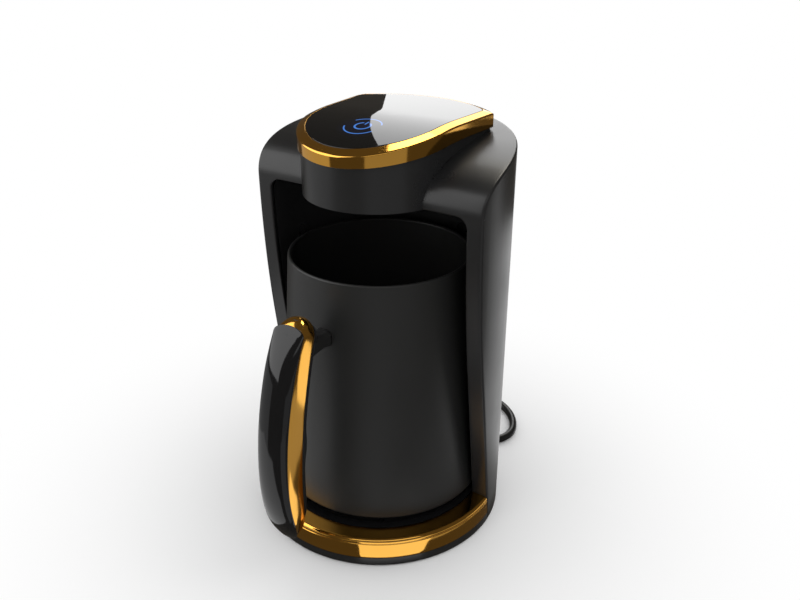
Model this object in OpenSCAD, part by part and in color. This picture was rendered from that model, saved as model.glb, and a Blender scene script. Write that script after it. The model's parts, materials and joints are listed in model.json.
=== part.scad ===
// Electric Turkish coffee maker: round housing with a pot bay, crowned touch head,
// heated base and a lift-out pot with a lofted handle.
// Millimetres. +Z is up, the front faces -Y, and the origin is on the body's axis at the table.

/* [Body] */
// Width of the shell's cheeks beside the pot bay, which with the bay gives the body's radius
cheek_w = 10; // [9:0.5:14]
// Wall of the housing mouldings
wall = 2.5; // [2:0.1:3]
// Height of the black plinth below the gold lip
plinth_h = 5.5; // [5:0.5:8]
// Height of the deck that the pot stands over
deck_z = 17.7; // [16:0.1:22]
// Distance from the axis to the front face where it bulges most
front_y = 14.4; // [12:0.2:18]
// Distance that the front face falls back behind the bulge at its foot
front_fall = 20.9; // [16:0.1:24]
// Radius of the upper corners of the bay opening
bay_corner_r = 6; // [3:0.5:10]
// Height from the bay's ceiling to the back edge of the shoulders
shoulder_h = 30.2; // [26:0.2:34]

/* [Head] */
// Radius of the nose at the gold ring
nose_r = 40; // [36:0.5:44]
// Distance from the body's back to the head's rear edge
head_setback = 9; // [6:0.5:12]
// Angle by which the head's sides flare towards the back
head_flare = 3.5; // [1:0.5:5]
// Height from the bay's ceiling to the top of the gold ring
head_h = 36.2; // [34:0.2:42]
// Radius of the crown that bends the panel down to the nose
crown_r = 176; // [150:2:220]
// Place on the centre line where the crown starts
crown_y = 15; // [5:1:25]
// Height of the gold ring's outer wall at the rear
ring_h = 7; // [6:0.1:9]
// Width of the ring's sloping top face
ring_land = 4.5; // [3.5:0.1:6]
// Rise of the ring's top face from its outer to its inner edge
ring_rise = 1.4; // [0.6:0.1:2]
// Distance that the ring stands proud of the head's black wall
ring_proud = 1.5; // [0.8:0.1:2]
// Thickness of the glass panel
glass_t = 2.2; // [1.6:0.1:3]

/* [Pot] */
// Outer radius of the pot at its rim
pot_rim_r = 49.3; // [44:0.5:54]
// Outer radius of the pot at its foot
pot_foot_r = 58.5; // [56:0.5:59.5]
// Height of the pot from the foot edge to the rim
pot_h = 133.6; // [120:0.2:140]
// Wall of the pot
pot_wall = 2; // [1.2:0.1:2.6]
// Distance of the pot's axis behind the body's axis
pot_y = 2; // [0:0.5:3]
// Thickness of the heat-spreading disc under the pot
pot_disc_t = 2.7; // [2:0.1:4]
// Clearance between the pot's foot and the bay's wall
bay_gap = 1.5; // [1:0.1:3]
// Rest clearance between the pot's disc and the heating plate
rest_gap = 0.3; // [0.2:0.05:0.5]

/* [Handle] */
// Half the width of the handle
grip_half_w = 9.2; // [8:0.1:11]
// Height of the handle's upper tip above the table
grip_top_z = 145; // [140:1:148]
// Height of the handle's lower tip above the table
grip_foot_z = 21; // [20:0.5:30]
// Clear distance from the pot's wall to the handle at the bracket
grip_reach = 19; // [14:0.5:26]
// Thickness of the gold hoop round the handle
hoop_t = 1.5; // [1:0.1:2]
// Crown of the handle's glossy cover
cover_crown = 4.2; // [3:0.1:5]
// Swell of the inner grip behind the hoop
grip_swell = 5.8; // [4:0.1:6.5]
// Width of the bracket between pot and handle
bracket_w = 11.5; // [9:0.5:11.5]
// Height of the bracket
bracket_h = 12; // [10:0.5:14]

/* [Heater] */
// Radius of the heating plate's face
plate_r = 44; // [40:0.5:45]
// Distance that the plate stands proud of the deck
plate_proud = 0.2; // [0.1:0.05:0.3]
// Radius of the tubular element's section
element_r = 3.2; // [2.5:0.1:3.4]
// Radius of the element's loop
element_loop_r = 30; // [24:0.5:34]

/* [Electronics] */
// Width of the control board
board_w = 54; // [44:1:58]
// Length of the control board, front to back
board_l = 36; // [34:1:38]
// Thickness of both circuit boards
board_t = 1.6; // [1:0.2:2]
// Distance of the touch mark in front of the body's axis
mark_y = 11; // [4:0.5:16]

/* [Lead] */
// Diameter of the mains lead
lead_d = 5; // [4.6:0.1:5.2]
// Height of the lead's exit above the table
lead_exit_z = 12; // [11.5:0.1:12.5]
// Length of the strain relief outside the wall
relief_l = 24; // [20:0.5:28]
// Mid-turn radius of the stored coil
coil_r = 25.5; // [25:0.5:27]
// Diameter of the plug's pins
pin_d = 4.8; // [4:0.1:4.8]
// Length of the plug's pins
pin_l = 19; // [17:0.5:19]

/* [Hidden] */
$fn = 96;

black = "#2b2b2b";
gloss = "#111111";
gold = "#c8962e";
steel = "#b9bcc0";
green = "#1f5f3a";

eps = 0.5;            // overrun of cutting tools
fit = 0.2;            // gap between parts of one body that are not touching face to face
screw_r = 1.5;        // self-tapping screw shank
screw_head_r = 2.8;
screw_head_h = 2;
screw_play = 0.1;     // radial play of a screw in its boss

// heights and radii that follow from the driving sizes
bay_r = pot_foot_r + bay_gap;
body_r = bay_r + cheek_w;
inner_r = body_r - wall;
head_rear_r = body_r - head_setback;
pot_disc_z = deck_z + plate_proud + rest_gap;
pot_foot_z = pot_disc_z + pot_disc_t;
pot_rim_z = pot_foot_z + pot_h;
rim_room = 33.3;                                // from the pot's rim to the bay's ceiling
bay_top_z = pot_rim_z + rim_room;
bay_wall = 2;
head_top_z = bay_top_z + head_h;
shoulder_z = bay_top_z + shoulder_h;
front_foot_y = front_fall - front_y;
head_wall_d = ring_proud;
head_in_d = head_wall_d + wall;
head_floor_z = bay_top_z + wall;
glass_d = ring_land + 0.15;
ledge_w = 2;
ledge_t = 1.6;
glass_top = ring_rise;

// ---------- general functions and tools ----------

function bez(p, t) = pow(1 - t, 3) * p[0] + 3 * pow(1 - t, 2) * t * p[1]
                   + 3 * (1 - t) * t * t * p[2] + t * t * t * p[3];
function arc(r, a0, a1, n, c = [0, 0]) =
    [for (i = [0:n]) c + r * [cos(a0 + (a1 - a0) * i / n), sin(a0 + (a1 - a0) * i / n)]];

// A profile in the (y, z) plane carried along x.
module along_x(points, width) {
    rotate([90, 0, 90]) translate([0, 0, -width / 2]) linear_extrude(height = width) polygon(points);
}

module tube(ro, ri, h) {
    difference() {
        cylinder(r = ro, h = h);
        translate([0, 0, -eps]) cylinder(r = ri, h = h + 2 * eps);
    }
}

// A closed skin over equal rings of points. Each ring is its own mirror image, point i facing
// point n - i, so the first and last ring are capped with strips between facing points.
function cap(n, at, flip) = [for (i = [0:n / 2 - 1]) let (
    f = [for (k = i == 0 ? [0, 1, n - 1] : i == n / 2 - 1 ? [i, i + 1, n - i]
                         : [i, i + 1, n - i - 1, n - i]) at + k])
    flip ? [for (k = [len(f) - 1:-1:0]) f[k]] : f];

module loft(rings) {
    m = len(rings);
    n = len(rings[0]);
    pts = [for (r = rings) each r];
    sides = [for (j = [0:m - 2], i = [0:n - 1]) each [
        [j * n + i, (j + 1) * n + i, j * n + (i + 1) % n],
        [j * n + (i + 1) % n, (j + 1) * n + i, (j + 1) * n + (i + 1) % n]]];
    polyhedron(pts, concat(sides, cap(n, 0, false), cap(n, (m - 1) * n, true)));
}

// A closed skin over rings that join up in both directions.
module hoop(rings) {
    m = len(rings);
    n = len(rings[0]);
    pts = [for (r = rings) each r];
    polyhedron(pts, [for (j = [0:m - 1], i = [0:n - 1]) each [
        [j * n + i, ((j + 1) % m) * n + i, j * n + (i + 1) % n],
        [j * n + (i + 1) % n, ((j + 1) % m) * n + i, ((j + 1) % m) * n + (i + 1) % n]]]);
}

// ---------- side profile of the housing ----------

fall_share = 0.45;                              // share of the height over which the face curves
curve_z = bay_top_z * (1 - fall_share);
fall_a = atan(front_fall / (curve_z + (bay_top_z - curve_z) / 2));
curve_big_r = (bay_top_z - curve_z) / sin(fall_a);
face_steps = 10;
shoulder_steps = 24;

// Front face from the foot up: a straight slope, then an arc that ends upright at the ceiling.
// d moves the line inwards by one wall.
function face_line(d) = concat(
    [[front_foot_y + d, 0]],
    [for (i = [0:face_steps]) let (a = fall_a * (1 - i / face_steps))
        [-front_y + d + curve_big_r * (1 - cos(a)), bay_top_z - curve_big_r * sin(a)]]);

// Shoulder from the ceiling's height over to the back edge.
function shoulder_line(d) = let (
    p = [[-front_y + d, bay_top_z + 1],
         [-front_y + d, bay_top_z + 0.596 * shoulder_h - d],
         [-front_y + 20.5 + d / 2, bay_top_z + 0.832 * shoulder_h - d],
         [body_r + d, shoulder_z - d]])
    [for (i = [0:shoulder_steps]) bez(p, i / shoulder_steps)];

function housing_profile(d) = concat(face_line(d), shoulder_line(d),
    [[body_r + 5, shoulder_z - d], [body_r + 5, 0]]);

module housing_prism(d) {
    along_x(housing_profile(d), 2 * body_r + 10);
}

// ---------- plan of the head ----------

head_tail = sqrt(pow(head_rear_r, 2) - pow(nose_r, 2));
function side_start(d) = (nose_r - d) * [cos(head_flare), -sin(head_flare)];
side_dir = [sin(head_flare), cos(head_flare)];

// Exact plan: nose circle, straight flared sides and a rear edge about the body's axis.
module head_plan(d) {
    a = side_start(d);
    b = a + (head_tail + 15) * side_dir;
    intersection() {
        circle(r = head_rear_r - d);
        union() {
            circle(r = nose_r - d);
            polygon([a, b, [-b[0], b[1]], [-a[0], a[1]]]);
        }
    }
}

nose_steps = 40;
side_steps = 7;
rear_steps = 18;

corner_steps = 5;
function corner_r(d) = 0.4 + 1.25 * d;
function corner_mid(d) = let (e = d + corner_r(d))
    side_start(e) + side_dir * sqrt(pow(head_rear_r - e, 2) - pow(nose_r - e, 2));
function around(a) = [cos(a), sin(a)];

// Right side of the plan, from the nose up to and round the rear corner.
function head_side(d) = let (
    c = corner_mid(d),
    turn = atan2(c[1], c[0]) + head_flare,
    a = side_start(d),
    run = (c - side_start(d + corner_r(d))) / side_steps)
    concat([for (i = [1:side_steps]) a + run * i],
           [for (i = [1:corner_steps]) c + corner_r(d) * around(turn * i / corner_steps - head_flare)]);

// The same plan as a loop of points with rounded rear corners, for the ring and the glass.
function head_loop(d) = let (
    side = head_side(d),
    n = len(side),
    c = corner_mid(d),
    corner = atan2(c[1], c[0]))
    concat(
        arc(nose_r - d, 180 + head_flare, 360 - head_flare, nose_steps),
        side,
        [for (i = [1:rear_steps - 1]) (head_rear_r - d)
            * around(corner + (180 - 2 * corner) * i / rear_steps)],
        [for (i = [n - 1:-1:0]) [-side[i][0], side[i][1]]]);

function crown_z(y) = y >= crown_y ? head_top_z
    : head_top_z - crown_r + sqrt(pow(crown_r, 2) - pow(crown_y - y, 2));

// The ring's lower edge follows a flatter arc, so that the ring is lower at the nose.
ring_foot_r = 303;
ring_foot_y = 27;
ring_foot_z = head_top_z - ring_h;
function ring_low_z(y) = y >= ring_foot_y ? ring_foot_z
    : ring_foot_z - ring_foot_r + sqrt(pow(ring_foot_r, 2) - pow(ring_foot_y - y, 2));

crown_steps = 26;
crown_front = -nose_r - 5;
function crown_places(end) = [for (i = [0:crown_steps]) crown_front + (end - crown_front) * i / crown_steps];

// Everything below a line in the (y, z) plane that ends level at the rear.
module under_line(line) {
    level = line[len(line) - 1][1];
    along_x(concat(line, [[head_rear_r + 5, level], [head_rear_r + 5, bay_top_z - 10],
                          [crown_front, bay_top_z - 10]]), 2 * head_rear_r + 10);
}

module under_crown(dz) {
    under_line([for (y = crown_places(crown_y)) [y, crown_z(y) + dz]]);
}

module under_ring(dz) {
    under_line([for (y = crown_places(ring_foot_y)) [y, ring_low_z(y) + dz]]);
}

// ---------- housing ----------

module bay_opening_plan(half_w, top_z) {
    // in (x, z), open at the foot
    r = bay_corner_r;
    polygon(concat([[half_w, 0]], arc(r, 0, 90, 10, [half_w - r, top_z - r]),
                   arc(r, 90, 180, 10, [-half_w + r, top_z - r]), [[-half_w, 0]]));
}

module outer_shell() {
    color(black) difference() {
        intersection() {
            translate([0, 0, foot_h]) cylinder(r = body_r, h = shoulder_z);
            housing_prism(0);
        }
        intersection() {
            cylinder(r = inner_r, h = shoulder_z);
            housing_prism(wall);
        }
        translate([0, bay_r / 2, 0]) rotate([90, 0, 0])
            linear_extrude(height = body_r) bay_opening_plan(bay_r, bay_top_z);
        translate([0, 0, bay_top_z]) linear_extrude(height = head_h) head_plan(head_wall_d - fit);
        translate([0, 0, ring_foot_z - fit]) linear_extrude(height = head_h) head_plan(-fit);
        translate([0, inner_r - eps, lead_exit_z]) rotate([-90, 0, 0])
            cylinder(r = gland_neck_r + fit, h = wall + 10);
    }
}

module bay_plan(r) {
    translate([0, pot_y]) circle(r = r);
    translate([-r, -body_r]) square([2 * r, body_r + pot_y]);
}

module bay_liner() {
    color(black) intersection() {
        difference() {
            translate([0, 0, deck_z]) linear_extrude(height = bay_top_z - deck_z + bay_wall)
                bay_plan(bay_r + bay_wall);
            translate([0, 0, deck_z - eps]) linear_extrude(height = bay_top_z - deck_z + eps)
                bay_plan(bay_r);
            translate([0, 0, bay_top_z - eps]) linear_extrude(height = 10) head_plan(head_wall_d - fit);
        }
        housing_prism(wall);
        cylinder(r = inner_r - fit, h = shoulder_z);
    }
}

// ---------- head ----------

module head_housing() {
    color(black) difference() {
        intersection() {
            translate([0, 0, bay_top_z]) linear_extrude(height = head_h) head_plan(head_wall_d);
            under_ring(-seat_gap);
        }
        translate([0, 0, head_floor_z]) linear_extrude(height = head_h) head_plan(head_in_d);
        // well for the foam sensor's window
        translate([0, -sensor_y, bay_top_z - eps]) cylinder(r = window_r + 0.05, h = wall + 2 * eps);
        // way out for the heater wires and the ribbon's clip
        translate([-wire_pitch - wire_room, inner_head_rear - 5, head_floor_z])
            cube([2 * (wire_pitch + wire_room), 5 + 2 * head_in_d, 2 * wire_room]);
    }
    color(black) board_posts();
}

seat_gap = 0.05;                                // clearance under the ring's curved lower edge
wire_room = 4;
inner_head_rear = head_rear_r - head_in_d;
sensor_y = 22;
window_r = 6;

// Ring section as [distance in from the outline, height from the crown]; the first and the last
// corner lie on the ring's lower edge instead.
ring_inner_d = head_wall_d + 1.3;
ring_section = [
    [0, undef], [0, -0.5], [0.15, -0.15], [0.5, 0.05], [ring_land, ring_rise],
    [ring_land, glass_top - glass_t], [ring_land + ledge_w, glass_top - glass_t],
    [ring_land + ledge_w, glass_top - glass_t - ledge_t], [ring_inner_d, glass_top - glass_t - ledge_t],
    [ring_inner_d, undef]];

module panel_trim() {
    color(gold) hoop([for (s = ring_section)
        [for (p = head_loop(s[0])) [p[0], p[1], is_undef(s[1]) ? ring_low_z(p[1]) : crown_z(p[1]) + s[1]]]]);
}

module touch_panel() {
    color(gloss) difference() {
        intersection() {
            translate([0, 0, bay_top_z + eps]) linear_extrude(height = head_h + 10)
                polygon(head_loop(glass_d));
            under_crown(glass_top);
        }
        under_crown(glass_top - glass_t);
    }
}

// ---------- electronics in the head ----------

board_y = 12;                                   // front edge of the control board
post_h = 4;
control_board_z = head_floor_z + post_h;
post_x = board_w / 2 - 4;
post_y0 = board_y + 4;
post_y1 = board_y + board_l;
touch_board_z = crown_z(-nose_r + head_in_d + 6) - ring_h - 2.2;
touch_board_w = 46;
touch_board_l = 44;

module board_post_places() {
    for (x = [-post_x + 6, post_x - 6], y = [post_y0, post_y1 - 4])
        translate([x, y, 0]) children();
}

module board_posts() {
    board_post_places() translate([0, 0, head_floor_z]) difference() {
        cylinder(r = 3.2, h = post_h);
        translate([0, 0, 0.6]) cylinder(r = screw_r * 0.8 + screw_play, h = post_h);
    }
    for (x = [-1, 1], y = [-1, 1])
        translate([x * (touch_board_w / 2 - 7), -mark_y + y * (touch_board_l / 2 - 9), head_floor_z])
            cylinder(r = 2.4, h = touch_board_z - head_floor_z);
}

module control_board() {
    color(green) translate([0, 0, control_board_z]) difference() {
        translate([-board_w / 2 + 4, board_y, 0]) cube([board_w - 8, board_l, board_t]);
        board_post_places() translate([0, 0, -eps])
            cylinder(r = screw_r * 0.8 + screw_play, h = board_t + 2 * eps);
    }
}

relay = [15, 12, 12];
transformer = [15, 13, 11];
terminal_block = [16, 8, 8];
capacitor_r = 4;

module board_parts() {
    z = control_board_z + board_t;
    row_y = board_y + 0.36 * board_l;
    color("#26408f") translate([-5 - relay[0], row_y, z]) cube(relay);
    color("#1b1b1b") translate([4, row_y - 1, z]) cube(transformer);
    color("#6b2a1a") translate([-11, row_y - capacitor_r - 0.8, z]) cylinder(r = capacitor_r, h = 11);
    color("#3b3b3b") translate([-terminal_block[0] / 2, board_y + 0.75 * board_l, z]) cube(terminal_block);
}

module board_screws() {
    color(steel) board_post_places() translate([0, 0, head_floor_z + 0.8]) {
        cylinder(r = screw_r * 0.8, h = post_h - 0.8 + board_t);
        translate([0, 0, post_h - 0.8 + board_t]) cylinder(r = 2.3, h = 1.5);
    }
}

module buzzer() {
    color("#151515") translate([10, -mark_y + 2, touch_board_z - 5]) difference() {
        cylinder(r = 5, h = 5);
        translate([0, 0, -eps]) cylinder(r = 0.8, h = 2);
    }
}

module touch_board() {
    color(green) translate([0, 0, touch_board_z]) linear_extrude(height = board_t) intersection() {
        head_plan(head_in_d + 1);
        translate([-touch_board_w / 2, -mark_y - touch_board_l / 2]) square([touch_board_w, touch_board_l]);
    }
}

led_ring_r = 4.5;

module touch_leds() {
    color("#f4f4ee") translate([0, -mark_y, touch_board_z + board_t])
        for (a = [0:90:270]) rotate([0, 0, a]) translate([led_ring_r, 0, 0.4]) cube([2.2, 2.2, 0.8], center = true);
}

guide_r = 8;

module light_guide() {
    color("#cfe6ff") difference() {
        intersection() {
            translate([0, -mark_y, touch_board_z + board_t]) cylinder(r = guide_r, h = head_h);
            under_crown(glass_top - glass_t);
        }
        translate([0, -mark_y, touch_board_z + board_t - eps]) cylinder(r = guide_r - 1.4, h = 1 + eps);
    }
}

ribbon_w = 10;
ribbon_t = 0.8;

module ribbon_cable() {
    // flat lead from the touch board's back edge down to the control board
    y0 = -mark_y + touch_board_l / 2 - 1;
    y1 = board_y + 4;
    z0 = touch_board_z - ribbon_t;
    z1 = control_board_z + board_t;
    color("#a9a9a9") along_x([
        [y0 - 4, z0], [y1 + 1, z0], [y1 + 2, z0 - 1], [y1 + 2, z1], [y1 + 2 + ribbon_t, z1],
        [y1 + 2 + ribbon_t, z0 - 0.6], [y1 + 1.4, z0 + ribbon_t], [y0 - 4, z0 + ribbon_t]], ribbon_w);
}

module foam_sensor() {
    color("#202020") translate([0, -sensor_y, head_floor_z]) {
        cylinder(r = 7.5, h = 1.2);
        translate([-5, -4, 1.2]) cube([10, 8, 5]);
    }
}

module sensor_window() {
    color("#3a1010") translate([0, -sensor_y, bay_top_z]) cylinder(r = window_r, h = wall);
}

// ---------- base ----------

wire_r = 1.1;
wire_pitch = 5;
wire_y = (bay_r + bay_wall + pot_y + inner_r) / 2;

lip_r = bay_r;                                  // inner radius of the gold lip's land
land_t = 1.5;
deck_r = inner_r - fit;
plate_flange_t = 2;
seal_t = 1.2;
deck_t = 2.2;
plate_flange_z = deck_z - deck_t - seal_t - plate_flange_t;
boss_r = 3.6;
flange_w = 3;                                   // width of the plate's flange under the seal
boss_ring_r = plate_r + flange_w + 0.4 + boss_r;
cover_plate_t = 2.5;
foot_h = 1;
screw_l = 8;

module deck_bosses() {
    for (a = [45:90:315])
        rotate([0, 0, a]) translate([boss_ring_r, 0, 0]) children();
}

// Space taken by the shell's walls, with a fitting gap round them.
module shell_room() {
    difference() {
        front_fit();
        intersection() {
            cylinder(r = deck_r, h = shoulder_z);
            union() {
                housing_prism(wall + fit);
                translate([-bay_r + fit, -body_r, -1]) cube([2 * (bay_r - fit), 2 * body_r, shoulder_z]);
            }
        }
    }
}

// Everything behind the front face, with the fitting gap, down to the table.
module front_fit() {
    line = [for (p = housing_profile(0)) [p[0] - fit, p[1]]];
    along_x(concat([[line[0][0], -5]], line, [[body_r + 5, -5]]), 2 * body_r + 10);
}

module base_deck() {
    color(gloss) difference() {
        union() {
            difference() {
                translate([0, 0, plinth_h]) cylinder(r = deck_r, h = deck_z - plinth_h);
                translate([0, 0, plinth_h - eps])
                    cylinder(r = deck_r - 2, h = deck_z - deck_t - plinth_h + eps);
            }
            deck_bosses() translate([0, 0, foot_h + cover_plate_t])
                cylinder(r = boss_r, h = deck_z - deck_t / 2 - foot_h - cover_plate_t);
        }
        // seat of the gold lip in front of the shell
        difference() {
            translate([0, 0, deck_z - land_t]) tube(body_r + 5, lip_r - fit, land_t + eps);
            housing_prism(0);
        }
        shell_room();
        cylinder(r = plate_r + 0.5, h = deck_z + eps);
        deck_bosses() translate([0, 0, foot_h])
            cylinder(r = screw_r + screw_play, h = cover_plate_t + screw_l);
        // notch for the mains lead and the wires up to the head
        translate([-notch_w / 2, deck_r - 5, plinth_h - eps])
            cube([notch_w, 10, deck_z - deck_t - plinth_h + eps]);
        for (i = [-1:1]) translate([i * wire_pitch, wire_y, deck_z - deck_t - eps])
            cylinder(r = wire_r + fit, h = deck_t + 2 * eps);
    }
}

notch_w = 2 * (wire_pitch + 7);
lip_round = 2;
groove_z = 3.2;

module base_trim() {
    // lip section as [radius, height]: outer wall, rounded top edge, land and inner lip
    lip = concat(
        [[body_r - 2.3, plinth_h], [body_r, plinth_h], [body_r, deck_z - groove_z]],
        [[body_r - 0.35, deck_z - groove_z + 0.2], [body_r - 0.1, deck_z - groove_z + 0.8]],
        arc(lip_round, 0, 90, 8, [body_r - 0.1 - lip_round, deck_z - lip_round]),
        [[lip_r, deck_z], [lip_r, deck_z - land_t], [body_r - 2.3, deck_z - land_t]]);
    color(gold) difference() {
        rotate_extrude($fn = 128) polygon(lip);
        front_fit();
    }
}

module heating_plate() {
    color(steel) difference() {
        union() {
            translate([0, 0, plate_flange_z]) cylinder(r = plate_r + flange_w, h = plate_flange_t);
            translate([0, 0, plate_flange_z]) cylinder(r = plate_r, h = deck_z + plate_proud - plate_flange_z);
        }
        // shallow turned ring in the face
        translate([0, 0, deck_z + plate_proud - 0.4]) tube(plate_r - 8, plate_r - 9.5, 1);
    }
}

module plate_seal() {
    color("#8c3a2a") translate([0, 0, plate_flange_z + plate_flange_t])
        tube(plate_r + flange_w - 0.1, plate_r + 0.1, seal_t);
}

element_z = plate_flange_z - element_r;
element_gap_a = 40;

module heating_element() {
    color("#6f6a64") rotate([0, 0, 90 + element_gap_a / 2]) translate([0, 0, element_z])
        rotate_extrude(angle = 360 - element_gap_a) translate([element_loop_r, 0]) circle(r = element_r, $fn = 32);
}

module element_ends() {
    for (s = [-1, 1]) rotate([0, 0, 90 + s * element_gap_a / 2])
        translate([element_loop_r, 0, element_z]) rotate([s * 90, 0, 0]) children();
}

module element_terminals() {
    color(steel) element_ends() {
        cylinder(r = 1.4, h = 6);
        translate([-0.4, -2, 6]) cube([0.8, 4, 2.5]);
    }
}

module temperature_sensor() {
    color("#d8d8d0") translate([0, 0, plate_flange_z - 5.5]) {
        cylinder(r = 4, h = 5.5);
        translate([0, 0, 3.5]) cylinder(r = 8, h = 2);
    }
}

fuse_r = 2;

module thermal_fuse() {
    color("#e3d9c2") translate([17, -8, plate_flange_z - fuse_r]) rotate([-90, 0, 0]) {
        cylinder(r = fuse_r, h = 16);
        translate([0, 0, -4]) cylinder(r = 0.6, h = 24);
    }
}

module heater_wires() {
    top_z = head_floor_z + 3;
    // the outer two end at the element's terminals, the middle one at the sensor
    ends = [element_loop_r + 2.3, 4.2, element_loop_r + 2.3];
    color("#b8b8b8") for (i = [-1:1]) translate([i * wire_pitch, 0, 0]) {
        translate([0, wire_y, element_z]) cylinder(r = wire_r, h = top_z - element_z, $fn = 24);
        for (z = [element_z, top_z]) translate([0, wire_y, z]) sphere(r = wire_r, $fn = 24);
        translate([0, wire_y, top_z]) rotate([90, 0, 0])
            cylinder(r = wire_r, h = wire_y - inner_head_rear + 6, $fn = 24);
        translate([0, wire_y, element_z]) rotate([90, 0, 0])
            cylinder(r = wire_r, h = wire_y - ends[i + 1], $fn = 24);
    }
}

foot_ring_out = bay_r - 0.7;
foot_ring_in = boss_ring_r + screw_head_r + 0.6;
foot_seat = 0.6;
vent_n = 9;

module bottom_cover() {
    color(black) difference() {
        union() {
            translate([0, 0, foot_h]) cylinder(r = body_r, h = cover_plate_t);
            translate([0, 0, foot_h]) tube(body_r, body_r - wall, plinth_h - foot_h);
        }
        shell_room();
        translate([0, 0, foot_h - eps]) tube(foot_ring_out, foot_ring_in, foot_seat + eps);
        deck_bosses() translate([0, 0, foot_h - eps]) {
            cylinder(r = screw_r + screw_play, h = cover_plate_t + 2 * eps);
            cylinder(r = screw_head_r + 0.2, h = screw_head_h + eps - 0.6);
        }
        // cooling slots under the heater
        for (i = [0:vent_n - 1]) translate([(i - (vent_n - 1) / 2) * 6, 0, foot_h - eps])
            translate([-1, -14, 0]) cube([2, 28, cover_plate_t + 2 * eps]);
    }
}

module foot_ring() {
    color("#1c1c1c") tube(foot_ring_out - 0.1, foot_ring_in + 0.1, foot_h + foot_seat);
}

module bottom_screws() {
    color(steel) deck_bosses() translate([0, 0, foot_h]) {
        translate([0, 0, screw_head_h - 0.6]) cylinder(r = screw_r, h = screw_l);
        difference() {
            translate([0, 0, 0.1]) cylinder(r = screw_head_r, h = screw_head_h - 0.7);
            translate([-0.4, -1.8, -eps]) cube([0.8, 3.6, 0.5 + eps]);
            translate([-1.8, -0.4, -eps]) cube([3.6, 0.8, 0.5 + eps]);
        }
    }
}

// ---------- mains lead ----------

gland_neck_r = 4.4;
gland_flange_r = 6;
relief_tip_r = lead_d / 2 + 1;

module cord_gland() {
    color("#191919") translate([0, body_r, lead_exit_z]) rotate([-90, 0, 0]) {
        difference() {
            union() {
                translate([0, 0, -wall - 0.4]) cylinder(r = gland_neck_r, h = wall + 1.4);
                translate([0, 0, 0.2]) cylinder(r = gland_flange_r, h = 2);
                translate([0, 0, 2.2]) cylinder(r1 = gland_neck_r + 0.6, r2 = relief_tip_r, h = relief_l - 2.2);
            }
            for (i = [0:4]) translate([0, 0, 6 + i * 3.2]) tube(10, relief_tip_r + 0.1 - i * 0.05, 1.2);
        }
    }
}

lead_r = lead_d / 2;
lead_z = lead_r + 0.1;
exit_y = body_r + relief_l;
coil_c = [-64, exit_y - 12];                    // the coil is two turns wide and two turns high
outer_turn_r = coil_r + lead_r;
plug_at = [-93, exit_y + 19, 10.1];

// Centre line from the strain relief's tip, round the loose bend and in to the coil.
lead_route = [for (p = [
    [0, 0, lead_exit_z], [0, 5, 11.8], [1.5, 11.5, 10.8], [5.5, 17.5, 8.8], [12, 21.8, 6],
    [20, 22.9, 3.6], [27.5, 20.3, lead_z], [34.5, 14.6, lead_z], [40.5, 6.5, lead_z],
    [44, -3, lead_z], [43.1, -11.7, lead_z], [38.7, -18.1, lead_z], [32.1, -22.1, lead_z],
    [24.5, -23.6, lead_z], [17, -22.7, lead_z], [8.5, -20.7, lead_z], [0, -19.4, lead_z],
    [-12, -19.6, lead_z], [-24, -22, lead_z], [-35.5, -26.6, lead_z], [-46, -33.4, lead_z]])
    p + [0, exit_y, 0]];

// Centre line from the coil's last turn to the plug.
tail_route = [[coil_c[0] - outer_turn_r, coil_c[1], lead_z + lead_d], plug_at - [-1, 23, 2.2],
              plug_at - [-0.5, 15, 1.5], plug_at - [0, 7, 0.5], plug_at - [0, seat_gap * 6, 0]];

function unit(v) = v / norm(v);
function tangent(p, i) = unit(p[min(i + 1, len(p) - 1)] - p[max(i - 1, 0)]);
function catmull(p, i, t) = let (
    a = p[max(i - 1, 0)], b = p[i], c = p[i + 1], d = p[min(i + 2, len(p) - 1)])
    0.5 * ((2 * b) + (c - a) * t + (2 * a - 5 * b + 4 * c - d) * t * t
           + (3 * b - a - 3 * c + d) * t * t * t);
function smooth(p, n) = concat(
    [for (i = [0:len(p) - 2], k = [0:n - 1]) catmull(p, i, k / n)], [p[len(p) - 1]]);

module lead_tube(route, r, sides) {
    p = smooth(route, 2);
    loft([for (i = [0:len(p) - 1]) let (
        t = tangent(p, i),
        u = unit(cross(t, [0, 0, 1])),
        v = cross(u, t))
        [for (k = [0:sides - 1]) p[i] + r * (cos(360 * k / sides) * u + sin(360 * k / sides) * v)]]);
}

module power_cord() {
    color("#202020") lead_tube(lead_route, lead_r, 10);
}

module cord_tail() {
    color("#202020") lead_tube(tail_route, lead_r, 10);
}

module cord_coil() {
    color("#202020") translate([coil_c[0], coil_c[1], lead_z - lead_r]) rotate_extrude($fn = 64) {
        translate([coil_r, lead_d]) {
            square(lead_d, center = true);
            for (x = [-1, 1], y = [-1, 1]) translate([x, y] * lead_r) circle(r = lead_r, $fn = 32);
        }
    }
}

tie_a = 200;
tie_t = 0.8;
tie_w = 8;
tie_squeeze = 0.5;

module cord_tie() {
    outer = lead_d + tie_t;
    color("#383838") translate([coil_c[0], coil_c[1], lead_z + lead_r]) rotate([0, 0, tie_a])
        translate([coil_r, 0, 0]) rotate([90, 0, 0]) linear_extrude(height = tie_w, center = true)
            difference() {
                translate([-outer, -lead_d - 0.05]) square([2 * outer, lead_d + 0.05 + outer]);
                translate([-lead_d - 0.2, -lead_d + tie_squeeze])
                    square([2 * lead_d + 0.4, 2 * lead_d - tie_squeeze + 0.05]);
            }
}

plug_l = 34;
plug_w = 26;
plug_t = 20;
pin_pitch = 19;

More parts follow.
